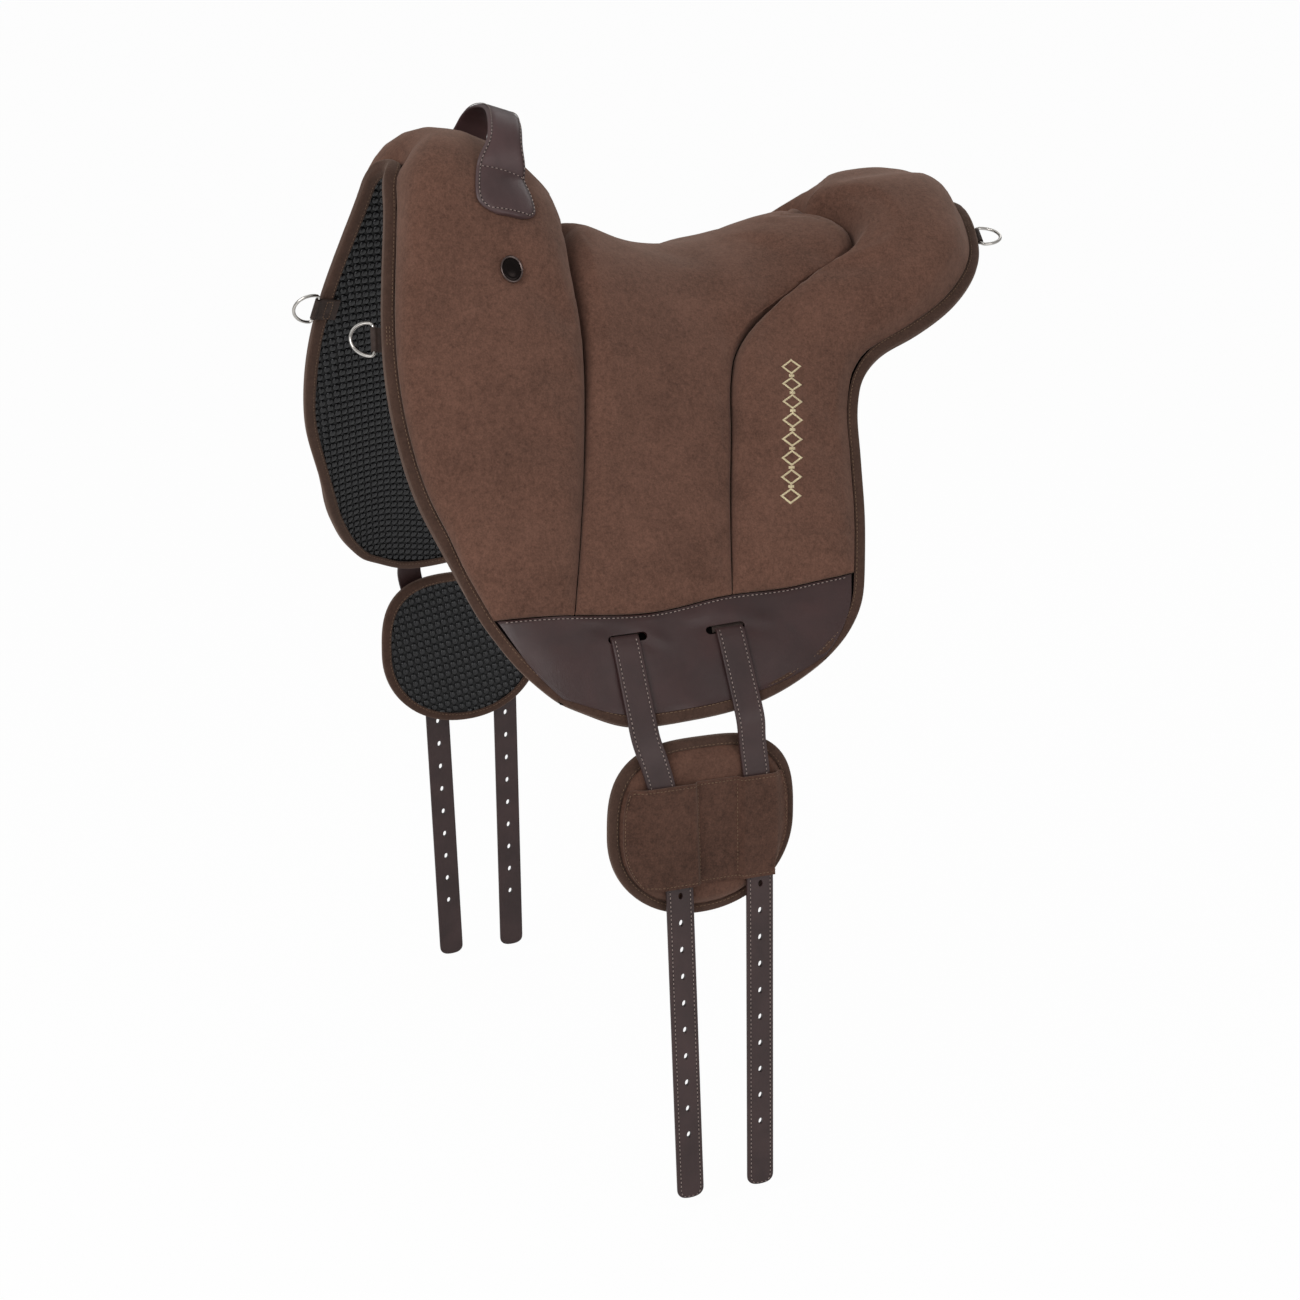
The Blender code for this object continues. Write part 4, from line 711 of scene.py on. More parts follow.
def cushion_net(spec, v, t):
    """Pattern points and heights of a cushion: v along the seams, t from seam to seam."""
    share = np.abs(v)
    start, end = cushion_sides(spec["index"], share)
    width = np.linalg.norm(end - start, axis=1)
    inset = SEAM_GAP / 2
    d = inset + (width[:, None] - 2 * inset) * t[None, :]
    yz = start[:, None] + (end - start)[:, None] * (d / width[:, None])[..., None]
    y, s = yz[..., 0], yz[..., 1]
    from_foot = np.clip((1.0 - share) * LINES[1].length, 0.0, None)
    s = s - np.where(from_foot < 0.004, inset, 0.0)[:, None]
    low_start, low_end = cushion_sides(spec["index"], np.ones(1))
    chord = low_start + (low_end - low_start) * t[:, None]
    s = s + (foot_s(chord[:, 0]) - chord[:, 1])[None, :] * share[:, None]**6
    crown = hermite(spec["crown"], np.sqrt(share**2 + 0.018**2))[:, 0]
    rise = np.ones_like(d)
    for side, away in ((0, d), (1, width[:, None] - d)):
        reach = np.minimum(fade(spec["shoulders"][side], share), 0.33 * width)[:, None]
        steep, power = rounding(spec["levels"][side])
        rise = rise * (1 - np.exp(-steep * (np.clip(away - inset, 0, None) / reach)**power))
    foot = 1 - np.exp(-1.5 * (from_foot / 0.014)**0.9)
    dip = np.exp(-(share / (0.55 * CREASE_REACH))**2)[:, None] * (1 - t)[None, :]**0.6
    low = BASE + EDGE_RISE
    height = low + (crown[:, None] - spec["crease"] * dip - low) * rise * foot[:, None]
    if spec["index"] == 0:
        height = height + pressed(y, s, v)
    return y, s * np.sign(v)[:, None], height, d, width[:, None] - d, from_foot[:, None]


def pressed(y, s, v):
    """The front cushion's hollows under the handle's spades and the badge, with puckers round."""
    spade_y, spade_s, wide, tall = SPADE_DENT
    far = np.hypot((y - spade_y) / wide, (s - spade_s) / tall)
    change = -0.0013 * np.exp(-(far / 0.98)**6) + 0.0010 * np.exp(-((far - 1.25) / 0.16)**2)
    around = np.arctan2(s - spade_s + 0.002, y - spade_y + 0.004)
    change = change + 0.0006 * np.sin(9 * around + 1.0) * np.exp(-((far - 1.32) / 0.20)**2)
    badge_y, badge_s, wide, tall = BADGE
    far = np.hypot((y - badge_y) / (0.62 * wide), (s - badge_s) / (0.62 * tall))
    return change - 0.0006 * np.exp(-(far / 1.1)**4) * (v[:, None] > 0)


def edge_dense(count, bias):
    """Shares from 0 to 1, closer together at both ends."""
    t = np.linspace(0.0, 1.0, count)
    return t - bias * np.sin(2 * np.pi * t) / (2 * np.pi)


def puckered(points, normals, away, seed):
    """Small gathers along the seams and slack waves over the cushion."""
    (gather, size), *waves = PUCKERS
    out = gather * noise(points, size, seed) * np.exp(-((away - 0.008) / 0.009)**2)
    far = 1 - np.exp(-(away / 0.010)**2)
    for k, (height, size) in enumerate(waves):
        out += height * noise(points, size, seed + 1 + k) * far
    return points + normals * out[..., None]


CLOTH = dict(quality=6, mass=0.35, tension_stiffness=25.0, compression_stiffness=25.0,
             shear_stiffness=8.0, bending_stiffness=0.6, vertex_group_mass="sewn",
             pin_stiffness=4.0, use_pressure=True, uniform_pressure_force=1.2, shrink_min=-0.012)
CLOTH_FRAMES = 16
CLOTH_REACH = 0.0022                        # the furthest that the cloth may move


def settle_cloth(obj, loose):
    """Lets the cover of a cushion settle over its filling with a short cloth simulation."""
    rest = np.array([v.co for v in obj.data.vertices])
    group = obj.vertex_groups.new(name="sewn")
    for k, value in enumerate(loose):
        if value < 1.0:
            group.add([k], 1.0 - float(value), "REPLACE")
    cloth = obj.modifiers.new("cloth", "CLOTH")
    for key, value in CLOTH.items():
        setattr(cloth.settings, key, value)
    cloth.settings.effector_weights.gravity = 0.0
    cloth.collision_settings.use_collision = False
    cloth.collision_settings.use_self_collision = False
    cloth.point_cache.frame_start = 1
    cloth.point_cache.frame_end = CLOTH_FRAMES
    for f in range(1, CLOTH_FRAMES + 1):
        bpy.context.scene.frame_set(f)
    settled = obj.evaluated_get(bpy.context.evaluated_depsgraph_get())
    moved = np.array([v.co for v in settled.to_mesh().vertices])
    settled.to_mesh_clear()
    obj.modifiers.clear()
    obj.vertex_groups.clear()
    bpy.context.scene.frame_set(1)
    step = moved - rest
    size = np.linalg.norm(step, axis=1, keepdims=True)
    step = step * np.minimum(1.0, CLOTH_REACH / np.maximum(size, 1e-9)) * loose[:, None]
    obj.data.vertices.foreach_set("co", (rest + step).astype(np.float32).ravel())
    obj.data.update()


def cushion(name, spec, seed):
    """One quilted cushion over the whole back, near and off side together."""
    # Rows are closer together near the foot, and columns near the seams
    half = np.concatenate([np.linspace(0.0, 0.90, 46),
                           1 - 0.10 * (1 - np.linspace(0.08, 1, 16))**1.3])
    v = np.concatenate([-half[:0:-1], half])
    v[np.abs(v) < 1e-9] = 1e-6              # the spine counts as near side
    t = edge_dense(58 if spec["index"] else 50, 0.80)
    y, s, height, left, right, foot = cushion_net(spec, v, t)
    away = np.minimum(np.minimum(left, right), foot)
    top = puckered(BACK.lifted(y, s, height), BACK.normal(y, s), away, seed)
    points, faces = slab(top, BACK.lifted(y, s, BASE))
    obj = piece(name + "_cover", points, faces, SUEDE, "pad", (name,), "suede")
    loose = np.clip((away - 0.003) / 0.012, 0.0, 1.0)
    settle_cloth(obj, np.concatenate([loose.ravel(), np.zeros(loose.size)]))
    return obj


# Lining, core and leather flaps

FLAP_SIDES = Line(FLAP_FRONT), Line(FLAP_REAR)
BOTTOM = Line(FLAP_BOTTOM)
FLAP_BORDER = 0.0095                        # how far the leather stays inside the pad's edge


def half_net(counts, shares, leather_shares):
    """Pattern points of the near half, from edge to edge and from the spine to the flap's foot."""
    rows = []
    for share in shares:
        knots = np.array([line.at(share)[0] for line in LINES])
        row = [knots[0]]
        for k, count in enumerate(counts):
            row += [knots[k] + (knots[k + 1] - knots[k]) * n / count for n in range(1, count + 1)]
        rows.append(row)
    return np.concatenate([rows, flap_net(np.array(rows[-1]), leather_shares)])


def flap_net(top, vs):
    """Pattern points of the flap below the leather seam, under a top row of points."""
    us = runs_of(top) / runs_of(top)[-1]
    foot = BOTTOM.at(us)
    u = us[:, None]
    rows = []
    for v in vs:
        left, right = (line.at(v)[0] for line in FLAP_SIDES)
        row = (1 - u) * left + u * right + (1 - v) * top + v * foot
        row = row - (1 - u) * ((1 - v) * top[0] + v * foot[0])
        rows.append(row - u * ((1 - v) * top[-1] + v * foot[-1]))
    return np.array(rows)


def whole(net):
    """A near half made whole: the off side first, then the near side."""
    off = net[:0:-1].copy()
    off[..., 1] *= -1
    return np.concatenate([off, net])


def pulled_in(net, by):
    """The net with its border drawn in a little, so that it stays inside the binding."""
    net = net.copy()
    for line, inner in ((net[:, 0], net[:, 1]), (net[:, -1], net[:, -2]), (net[0], net[1]),
                        (net[-1], net[-2])):
        line += unit(inner - line) * by
    return net


def lattice(reach):
    """Spots of a slightly turned grid over a square."""
    count = int(1.5 * reach / STUD_PITCH[0])
    i, j = np.meshgrid(np.arange(-count, count + 1), np.arange(-count, count + 1))
    u, w = i.ravel() * STUD_PITCH[0], j.ravel() * STUD_PITCH[1]
    c, s = math.cos(STUD_TURN), math.sin(STUD_TURN)
    return u * c - w * s, u * s + w * c


def inside(loop, y, s):
    """Which spots lie inside a closed line."""
    found = np.zeros(len(y), dtype=bool)
    for (y0, s0), (y1, s1) in zip(loop, np.roll(loop, -1, 0)):
        if s0 == s1:
            continue
        crosses = (s0 > s) != (s1 > s)
        found ^= crosses & (y < y0 + (y1 - y0) * (s - s0) / (s1 - s0))
    return found


STUD_STEPS = ((1.0, STUD_HEIGHT + 0.0002), (0.88, 0.30 * STUD_HEIGHT), (0.58, 0.0))


def studs(name, tips, outward, along, body):
    """Square rubber studs with cut corners and sloping sides; along is the way of the rows."""
    aside = unit(np.cross(outward, along))
    along = np.cross(aside, outward)
    a, b = (pitch / 2 - STUD_GAP / 2 for pitch in STUD_PITCH)
    c = STUD_CORNER
    outline = [(a, b - c), (a - c, b), (c - a, b), (-a, b - c)]
    outline += [(-u, -w) for u, w in outline]
    points = np.stack([tips - outward * drop + (along * u + aside * w) * size
                       for size, drop in STUD_STEPS for u, w in outline], axis=1)
    count = len(outline)
    size = points.shape[1]
    starts = (np.arange(len(tips)) * size)[:, None, None]
    one = quads(len(STUD_STEPS), count, closed=True)
    ends = np.array([range(count - 1, -1, -1), range(size - count, size)])
    faces = (one[None] + starts).reshape(-1, 4).tolist()
    faces += (ends[None] + starts).reshape(-1, count).tolist()
    piece(name, points, faces, STUD, body, slot="grip_rubber", closed=False)


def make_lining():
    net = whole(half_net((16, 16, 18), np.linspace(0.0, 1.0, 60), np.linspace(0.0, 1.0, 15)[1:]))
    net = pulled_in(net, 0.0022)
    y, s = net[..., 0], net[..., 1]
    points, faces = slab(BACK.lifted(y, s, LINING), BACK.lifted(y, s, STUD_HEIGHT))
    # The skin's darker rubber is painted shade between the studs.
    piece("lining_skin", points, faces, RUBBER_GAP_SHADE, "pad", ("grip_lining",), "grip_rubber", 50)
    sunk = np.zeros(y.shape)
    for slot_y in SLOT_YS:
        away = np.hypot((y - slot_y) / 0.034, (np.abs(s) - slot_s(slot_y)) / 0.022)
        sunk = np.maximum(sunk, SLOT_ROOM * np.exp(-away**6))
    low = LINING + GAP
    points, faces = slab(BACK.lifted(y, s, low + CORE - sunk), BACK.lifted(y, s, low))
    # The core shows only through the slots; its near-black is painted shade there.
    core = piece("core_sheet", points, faces, CORE_SLOT_SHADE, "pad", ("foam_core",), "foam", 50)
    loop, inward = outline_path()
    y, s = lattice(0.52)
    keep = inside(loop + inward * STUD_BORDER, y, s)
    y, s = y[keep], s[keep]
    step_y, step_s = 0.004 * math.cos(STUD_TURN), 0.004 * math.sin(STUD_TURN)
    along = BACK.point(y + step_y, s + step_s) - BACK.point(y - step_y, s - step_s)
    studs("lining_studs", BACK.point(y, s), -BACK.normal(y, s), along, "pad")


def slot_s(y):
    """The s of a billet's slot."""
    return BACK.s_at_height(y, -SLOT_DROP)


def slot_tool(side, index):
    """A rounded slot, for cutting."""
    y, s = SLOT_YS[index] + SLOT_SHIFT[index], slot_s(SLOT_YS[index])
    flip = np.array([side, 1.0, 1.0])
    centre = BACK.lifted(y, s, BASE + LEATHER / 2) * flip
    out = BACK.normal(y, s)
    along = unit(np.array([0.0, 1.0, 0.0]) - out * out[1]) * flip
    out = out * flip
    down = np.cross(out, along)
    r = SLOT_HEIGHT / 2
    turn = np.radians(np.arange(-90, 91, 22.5))
    ends = [(SLOT_LENGTH / 2 - r + r * math.cos(a), r * math.sin(a)) for a in turn]
    outline = ends + [(-u, -w) for u, w in ends]
    rings = [[centre + along * u + down * w + out * h for u, w in outline]
             for h in (-2 * LEATHER, 2 * LEATHER)]
    return piece("slot_tool", *tube(rings), HIDE)


# Dents by a slot: from its centre along it and down from it, their radii, their heights
SLOT_DENTS = [(-0.021, -0.002, 0.010, 0.006, -0.0012), (0.021, -0.002, 0.010, 0.006, -0.0012),
              (-0.029, -0.006, 0.010, 0.006, 0.0014), (0.029, -0.006, 0.010, 0.006, 0.0014),
              (0.0, -0.014, 0.020, 0.006, 0.0006)]


def make_flaps(sewn):
    count = 72
    knots = np.array([line.at(1.0)[0] for line in LINES])
    top = evenly(knots, runs_of(knots)[-1] / (count - 1))
    top[:, 1] = foot_s(top[:, 0])
    net = flap_net(top, np.linspace(0.0, 1 - FLAP_BORDER / FLAP_SIDES[0].length, 28))
    cut_u = FLAP_BORDER / BOTTOM.length
    us = np.linspace(cut_u, 1 - cut_u, count)
    net = np.array([resample(row, us * runs_of(row)[-1]) for row in net])
    net[0, :, 1] += SEAM_GAP / 2
    line = np.array([resample(column, [0.0022])[0] for column in net.transpose(1, 0, 2)])[1:-1]
    y = net[..., 0]
    for side, word in SIDES:
        s = net[..., 1] * side
        thick = np.full(y.shape, OVER)
        thick[0] -= 0.0006
        dent = 0.0009 * noise(BACK.lifted(y, s, thick), 0.060, 5 + side)
        for slot_y in SLOT_YS:
            for from_y, from_s, wide, tall, height in SLOT_DENTS:
                away = np.hypot((y - slot_y - from_y) / wide,
                                (np.abs(s) - slot_s(slot_y) - from_s) / tall)
                dent = dent + height * np.exp(-away**2)
        dent = np.maximum(dent, -0.0013)
        for slot_y in SLOT_YS:
            under = np.exp(-((y - slot_y) / 0.0175)**8)
            under = under * ease((np.abs(s) - slot_s(slot_y) + 0.012) / 0.006)
            dent = np.minimum(dent, 0.0002 + 0.004 * (1 - under))
        dent[[0, -1]] = 0.0
        dent[:, [0, -1]] = 0.0
        points, faces = slab(BACK.lifted(y, s, thick + dent), BACK.lifted(y, s, BASE))
        obj = piece(f"leather_flap_{word}", points, faces, HIDE, "pad",
                    (f"leather_panel_{word}",), "leather", 50)
        for index in (0, 1):
            cut_out(obj, slot_tool(side, index), 45)
        bpy.context.view_layer.update()
        sewn["leather"].append(row_of(*laid(tree_of(obj), line[:, 0], line[:, 1] * side, 0.0001)))


# The bindings

def fold(radius, top, bottom):
    """The round outer edge of a folded tape, from its top to its bottom: (inset, height)."""
    turn = np.radians([90, 65, 40, 15, 0])
    upper = [(radius - radius * math.cos(a), top - radius + radius * math.sin(a)) for a in turn]
    return upper + [(radius - radius * math.cos(a), bottom + radius - radius * math.sin(a))
                    for a in turn[::-1]]


def outline_path():
    """The edge of the whole pad as one closed line of pattern points, and the ways inward."""
    near = np.concatenate([
        LINES[0].fine, FLAP_SIDES[0].fine[1:], BOTTOM.fine[1:], FLAP_SIDES[1].fine[-2:0:-1],
        LINES[3].fine[::-1]])
    loop = np.concatenate([near, near[-2:0:-1] * [1, -1], near[:1]])
    loop = smoothed(evenly(loop, 0.0030)[:-1], 14, closed=True)
    tangent = unit(np.roll(loop, -1, 0) - np.roll(loop, 1, 0))
    inward = np.stack([-tangent[:, 1], tangent[:, 0]], axis=-1)
    if np.sum(inward * (loop.mean(axis=0) - loop)) < 0:
        inward = -inward
    return loop, smoothed(inward, 2, closed=True)


def make_binding(sewn):
    loop, inward = outline_path()
    top, bottom = BASE + BINDING, -GAP - BINDING
    width, middle, fine = BINDING_WIDTH, 0.0060, 0.0001
    profile = [(width - fine, BASE + fine), (width, top - 0.0005), (width - 0.0006, top),
               (width - 0.0016, top - 0.0002), (middle, top + 0.0002)]
    profile += fold(0.0030, top, bottom)
    profile += [(middle, bottom - 0.0002), (width - 0.0006, bottom), (width, bottom + 0.0006),
                (width - fine, -GAP), (BINDING, -GAP), (BINDING, BASE)]
    wave = 1.0 + 0.05 * noise(np.column_stack([loop, loop[:, 0]]), 0.05, 3)
    rings = []
    for inset, height in profile:
        spot = loop + inward * (inset * (wave if inset > 0.004 else np.ones(len(loop))))[:, None]
        lift = 0.00022 * noise(np.column_stack([loop, np.full(len(loop), inset)]), 0.012, 9)
        rings.append(BACK.lifted(spot[:, 0], spot[:, 1], height + lift * (height > BASE)))
    points, faces = tube(np.array(rings).transpose(1, 0, 2), closed=True)
    piece("edge_tape", points, faces, TAPE, "pad", ("edge_binding",), "binding")
    line = loop + inward * 0.0079
    y, s = np.concatenate([line, line[:1]]).T
    for height, sign in ((top - STITCH_LIFT, 1.0), (bottom + STITCH_LIFT, -1.0)):
        sewn["tape"].append(
            row_of(BACK.lifted(y, s, height), BACK.normal(y, s) * sign, *TAPE_ROW))


# Billets

OVER_FLAP = OVER + BILLET_CLEARANCE + BILLET / 2


def flap_end(y):
    """The s at which a billet leaves the flap."""
    return float(np.interp(y, BOTTOM.fine[:, 0], BOTTOM.fine[:, 1])) + BILLET_LEAVE


HANG_X = sum(BACK.lifted(y, flap_end(y), OVER_FLAP)[0] for y in SLOT_YS) / 2


def billet_path(index):
    """Centre points and outward ways of a near billet, from its slot to its round end."""
    y_slot = SLOT_YS[index]
    start = slot_s(y_slot)
    s = np.concatenate([[start, start + 0.4 * BILLET_RISE, start + 0.7 * BILLET_RISE],
                        np.linspace(start + BILLET_RISE, flap_end(y_slot), 24)])
    h = np.full(len(s), OVER_FLAP)
    h[0] -= BILLET_CLEARANCE + (BILLET + LEATHER) / 2
    h[1] -= BILLET_CLEARANCE / 2
    y = np.full(len(s), y_slot)
    points, facing = list(BACK.lifted(y, s, h)), list(BACK.normal(y, s))
    (entry_ys, up), (exit_ys, down) = BILLET_ENDS
    entry = np.array([HANG_X, entry_ys[index], up - GUARD_DROP])
    leave, last_way = points[-1], facing[-1]
    for f in np.linspace(0.0, 1.0, 14)[1:]:
        spot = leave + (entry - leave) * f
        turned = ease(f * 2.2)
        spot[0] = leave[0] + (HANG_X - leave[0]) * turned
        points.append(spot)
        facing.append(last_way * (1 - turned) + OUTWARD * turned)
    tip = np.array([HANG_X, BILLET_TIP_YS[index], -BILLET_TIP_DROP])
    below = np.array([HANG_X, exit_ys[index], down - GUARD_DROP])
    for end in (below, tip + unit(below - tip) * TIP_LENGTH):
        start = points[-1]
        for f in np.linspace(0.0, 1.0, 20)[1:]:
            points.append(start + (end - start) * f)
            facing.append(OUTWARD)
    return np.array(points), unit(np.array(facing))


def hole_pegs(end, back_way, across, face):
    """Oval pegs on a strap's middle line, for cutting its holes."""
    bm = bmesh.new()
    for k in range(HOLE_COUNT):
        peg = bmesh.ops.create_cone(bm, segments=20, radius1=0.5, radius2=0.5, depth=4 * BILLET,
                                    cap_ends=True)["verts"]
        bmesh.ops.scale(bm, vec=(*HOLE_SIZE, 1.0), verts=peg)
        bmesh.ops.translate(bm, vec=(HOLE_TO_END + k * HOLE_PITCH, 0.0, 0.0), verts=peg)
    mesh = bpy.data.meshes.new("pegs")
    bm.to_mesh(mesh)
    bm.free()
    pegs = bpy.data.objects.new("pegs", mesh)
    bpy.context.scene.collection.objects.link(pegs)
    turned = Matrix((Vector(back_way), Vector(across), Vector(face))).transposed().to_4x4()
    pegs.matrix_world = Matrix.Translation(Vector(end)) @ turned
    return pegs


def make_billet(side, word, index, sewn):
    flip = np.array([side, 1.0, 1.0])
    points, facing = billet_path(index)
    run = runs_of(points)
    even = np.concatenate([np.arange(0.0, 0.02, 0.002), np.linspace(0.02, run[-1], 130)])
    ways = unit(np.column_stack([np.interp(even, run, facing[:, k]) for k in range(3)]))
    ways = smoothed(ways, 4)
    points = resample(points, even)
    points[3:-12] = smoothed(points, 6)[3:-12]
    turn = np.radians(np.linspace(0.0, 84.0, 9)[1:])
    along = unit(points[-1] - points[-2])
    tip = points[-1] + along * (TIP_LENGTH * np.sin(turn)**TIP_BLUNTNESS)[:, None]
    half = np.concatenate([np.ones(len(points)), np.cos(turn)**TIP_BLUNTNESS]) * BILLET_WIDTH / 2
    centres = np.concatenate([points, tip]) * flip
    ways = np.concatenate([ways, np.repeat(ways[-1:], len(turn), axis=0)]) * flip
    rings, across, face = ribbon(centres, ways, half, BILLET, groove=0.0003)
    body = f"{word}_billets"
    ends = f"{('front', 'rear')[index]}_{word}"
    obj = piece(f"strap_{ends}", *tube(rings), STRAP, body, (f"billet_{ends}",), "leather", 50)
    end = centres[-1] + (centres[-1] - centres[-2]) * 0.02
    cut_out(obj, hole_pegs(end, -along * flip, across[-20], face[-20]), 50)
    inner = np.maximum(half - STRAP_INSET, 0.0)[:, None]
    top = centres + face * (BILLET / 2 - 0.00025)
    stretch = slice(np.argmax(runs_of(centres) > 0.002), len(centres) - 3)
    left, right = (top + across * inner)[stretch], (top - across * inner)[stretch]
    ways = face[stretch]
    sewn[body].append(row_of(np.concatenate([left, right[::-1]]),
                             np.concatenate([ways, ways[::-1]])))


# Guards

def guard_outline(angle, inset):
    """Points of the guard's outline, moved inward."""
    power = np.where(np.sin(angle) > 0, *GUARD_POWERS)
    wide, tall = GUARD_HALF[0] - inset, GUARD_HALF[1] - inset
    reach = np.abs(np.cos(angle) / wide)**power + np.abs(np.sin(angle) / tall)**power
    radius = reach**(-1.0 / power)
    return radius * np.cos(angle), radius * np.sin(angle)


GUARD_ANGLES = np.linspace(0, 2 * np.pi, 120, endpoint=False)


def guard_ring(inset, depth):
    y, z = guard_outline(GUARD_ANGLES, inset)
    return np.stack([np.full(len(y), depth), y, z], axis=-1)


def billet_ys(index, depth):
    """y of a billet at a depth below the origin."""
    (entry, up), (leave, down) = BILLET_ENDS
    depths = [GUARD_DROP - up, GUARD_DROP - down, BILLET_TIP_DROP]
    return np.interp(depth, depths, [entry[index], leave[index], BILLET_TIP_YS[index]])


def tunnel(index, depth):
    """Lowest and highest y, in the guard's frame, of a billet's tunnel at one depth."""
    slides = np.linspace(0.0, GUARD_TRAVEL, 9)
    leave, down = BILLET_ENDS[1]
    drift = sum(BILLET_TIP_YS[k] - leave[k] for k in (0, 1)) / 2
    drift /= BILLET_TIP_DROP - GUARD_DROP + down
    spots_y = billet_ys(index, depth + slides) - GUARD_Y - slides * drift
    half = BILLET_WIDTH / 2 + TUNNEL_PLAY + SLEEVE_LIFT
    return spots_y.min() - half, spots_y.max() + half


def sleeve_reach(z):
    """Half width of the sleeve at a height."""
    low, high = 0.0, GUARD_HALF[0]
    for _ in range(30):
        middle = (low + high) / 2
        y, limit = guard_outline(np.array([math.atan2(z, middle)]), SLEEVE_MARGIN)
        if math.hypot(middle, z) < math.hypot(y[0], limit[0]):
            low = middle
        else:
            high = middle
    return low


def sleeve_edges(z):
    """The sleeve's side edges at a height, always clear of its tunnels."""
    half = sleeve_reach(z)
    first, last = tunnel(0, GUARD_DROP - z)[0], tunnel(1, GUARD_DROP - z)[1]
    return min(-half, first - SLEEVE_SIDE), max(half, last + SLEEVE_SIDE)


def make_guard(side, word, sewn):
    body = f"{word}_guard"
    flip = np.array([side, 1.0, 1.0])
    origin = np.array([side * (HANG_X - BILLET / 2 - BILLET_CLEARANCE), GUARD_Y, -GUARD_DROP])

    def put(points):
        return origin + np.asarray(points) * flip

    wall = BINDING + GAP
    clear = GUARD_BINDING_WIDTH + SEAM_GAP / 2
    rim = -GUARD_PAD + GUARD_RIM
    rings = [guard_ring(0.02, -GUARD_PAD), guard_ring(wall, -GUARD_PAD), guard_ring(wall, rim),
             guard_ring(clear - 0.0004, rim)]
    rings += [guard_ring(clear + GUARD_SHOULDER * f * 0.92, rim * (1 - f)**2.4)
              for f in np.linspace(0.0, 1.0, 9)[1:]]
    rings = np.array(rings + [guard_ring(inset, 0.0) for inset in GUARD_TOP])
    shoulder = rings[4:12]
    shoulder[..., 0] = np.minimum(
        shoulder[..., 0] + 0.0006 * noise(shoulder, 0.014, 40 + side), 0.0)
    points, faces = tube(rings)
    cushion_made = piece(f"guard_cushion_{word}", put(points), faces, SUEDE_GUARD, body,
                         (f"guard_pad_{word}",), "suede")

    low = -GUARD_PAD - GAP
    skin = low - GUARD_LINING + STUD_HEIGHT
    points, faces = tube([guard_ring(0.03, low), guard_ring(wall, low), guard_ring(wall, skin),
                          guard_ring(0.03, skin)])
    # The guard's skin is darker than its studs, as painted shade in the gaps.
    piece(f"guard_grip_{word}", put(points), faces, RUBBER_GAP_SHADE, body, (f"guard_lining_{word}",),
          "grip_rubber", 40)
    y, z = lattice(GUARD_HALF[0])
    keep = inside(guard_ring(STUD_BORDER, 0.0)[:, 1:], y, z)
    tips = np.stack([np.full(keep.sum(), low - GUARD_LINING), y[keep], z[keep]], axis=-1)
    studs(f"guard_studs_{word}", put(tips), np.tile(-flip * OUTWARD, (len(tips), 1)),
          np.tile([0.0, math.cos(STUD_TURN), math.sin(STUD_TURN)], (len(tips), 1)), body)

    bottom = low - GUARD_LINING - GAP - BINDING
    top = rim + GAP + BINDING
    width, middle = GUARD_BINDING_WIDTH, 0.005
    profile = [(width, top - BINDING), (width, top - 0.0006), (width - 0.0006, top),
               (middle, top + 0.0003)]
    profile += fold(0.0032, top, bottom)
    profile += [(middle, bottom - 0.0002), (width - 0.0006, bottom), (width, bottom + 0.0006),
                (width, bottom + BINDING), (BINDING, bottom + BINDING), (BINDING, top - BINDING)]
    rings = np.array([guard_ring(inset, height) for inset, height in profile]).transpose(1, 0, 2)
    wobble = 0.0003 * noise(rings, 0.02, 31)
    rings = rings + wobble[..., None] * OUTWARD * (rings[..., :1] > top - 0.001)
    points, faces = tube(rings, closed=True)
    piece(f"guard_tape_{word}", put(points), faces, TAPE, body, (f"guard_binding_{word}",),
          "binding")
    for height, way in ((top + STITCH_LIFT, OUTWARD), (bottom - STITCH_LIFT, -OUTWARD)):
        ring = guard_ring(0.0068, height)
        sewn[body + "_tape"].append(
            row_of(put(np.concatenate([ring, ring[:1]])), flip * way, *TAPE_ROW))
    make_sleeve(side, word, put, sewn[body])


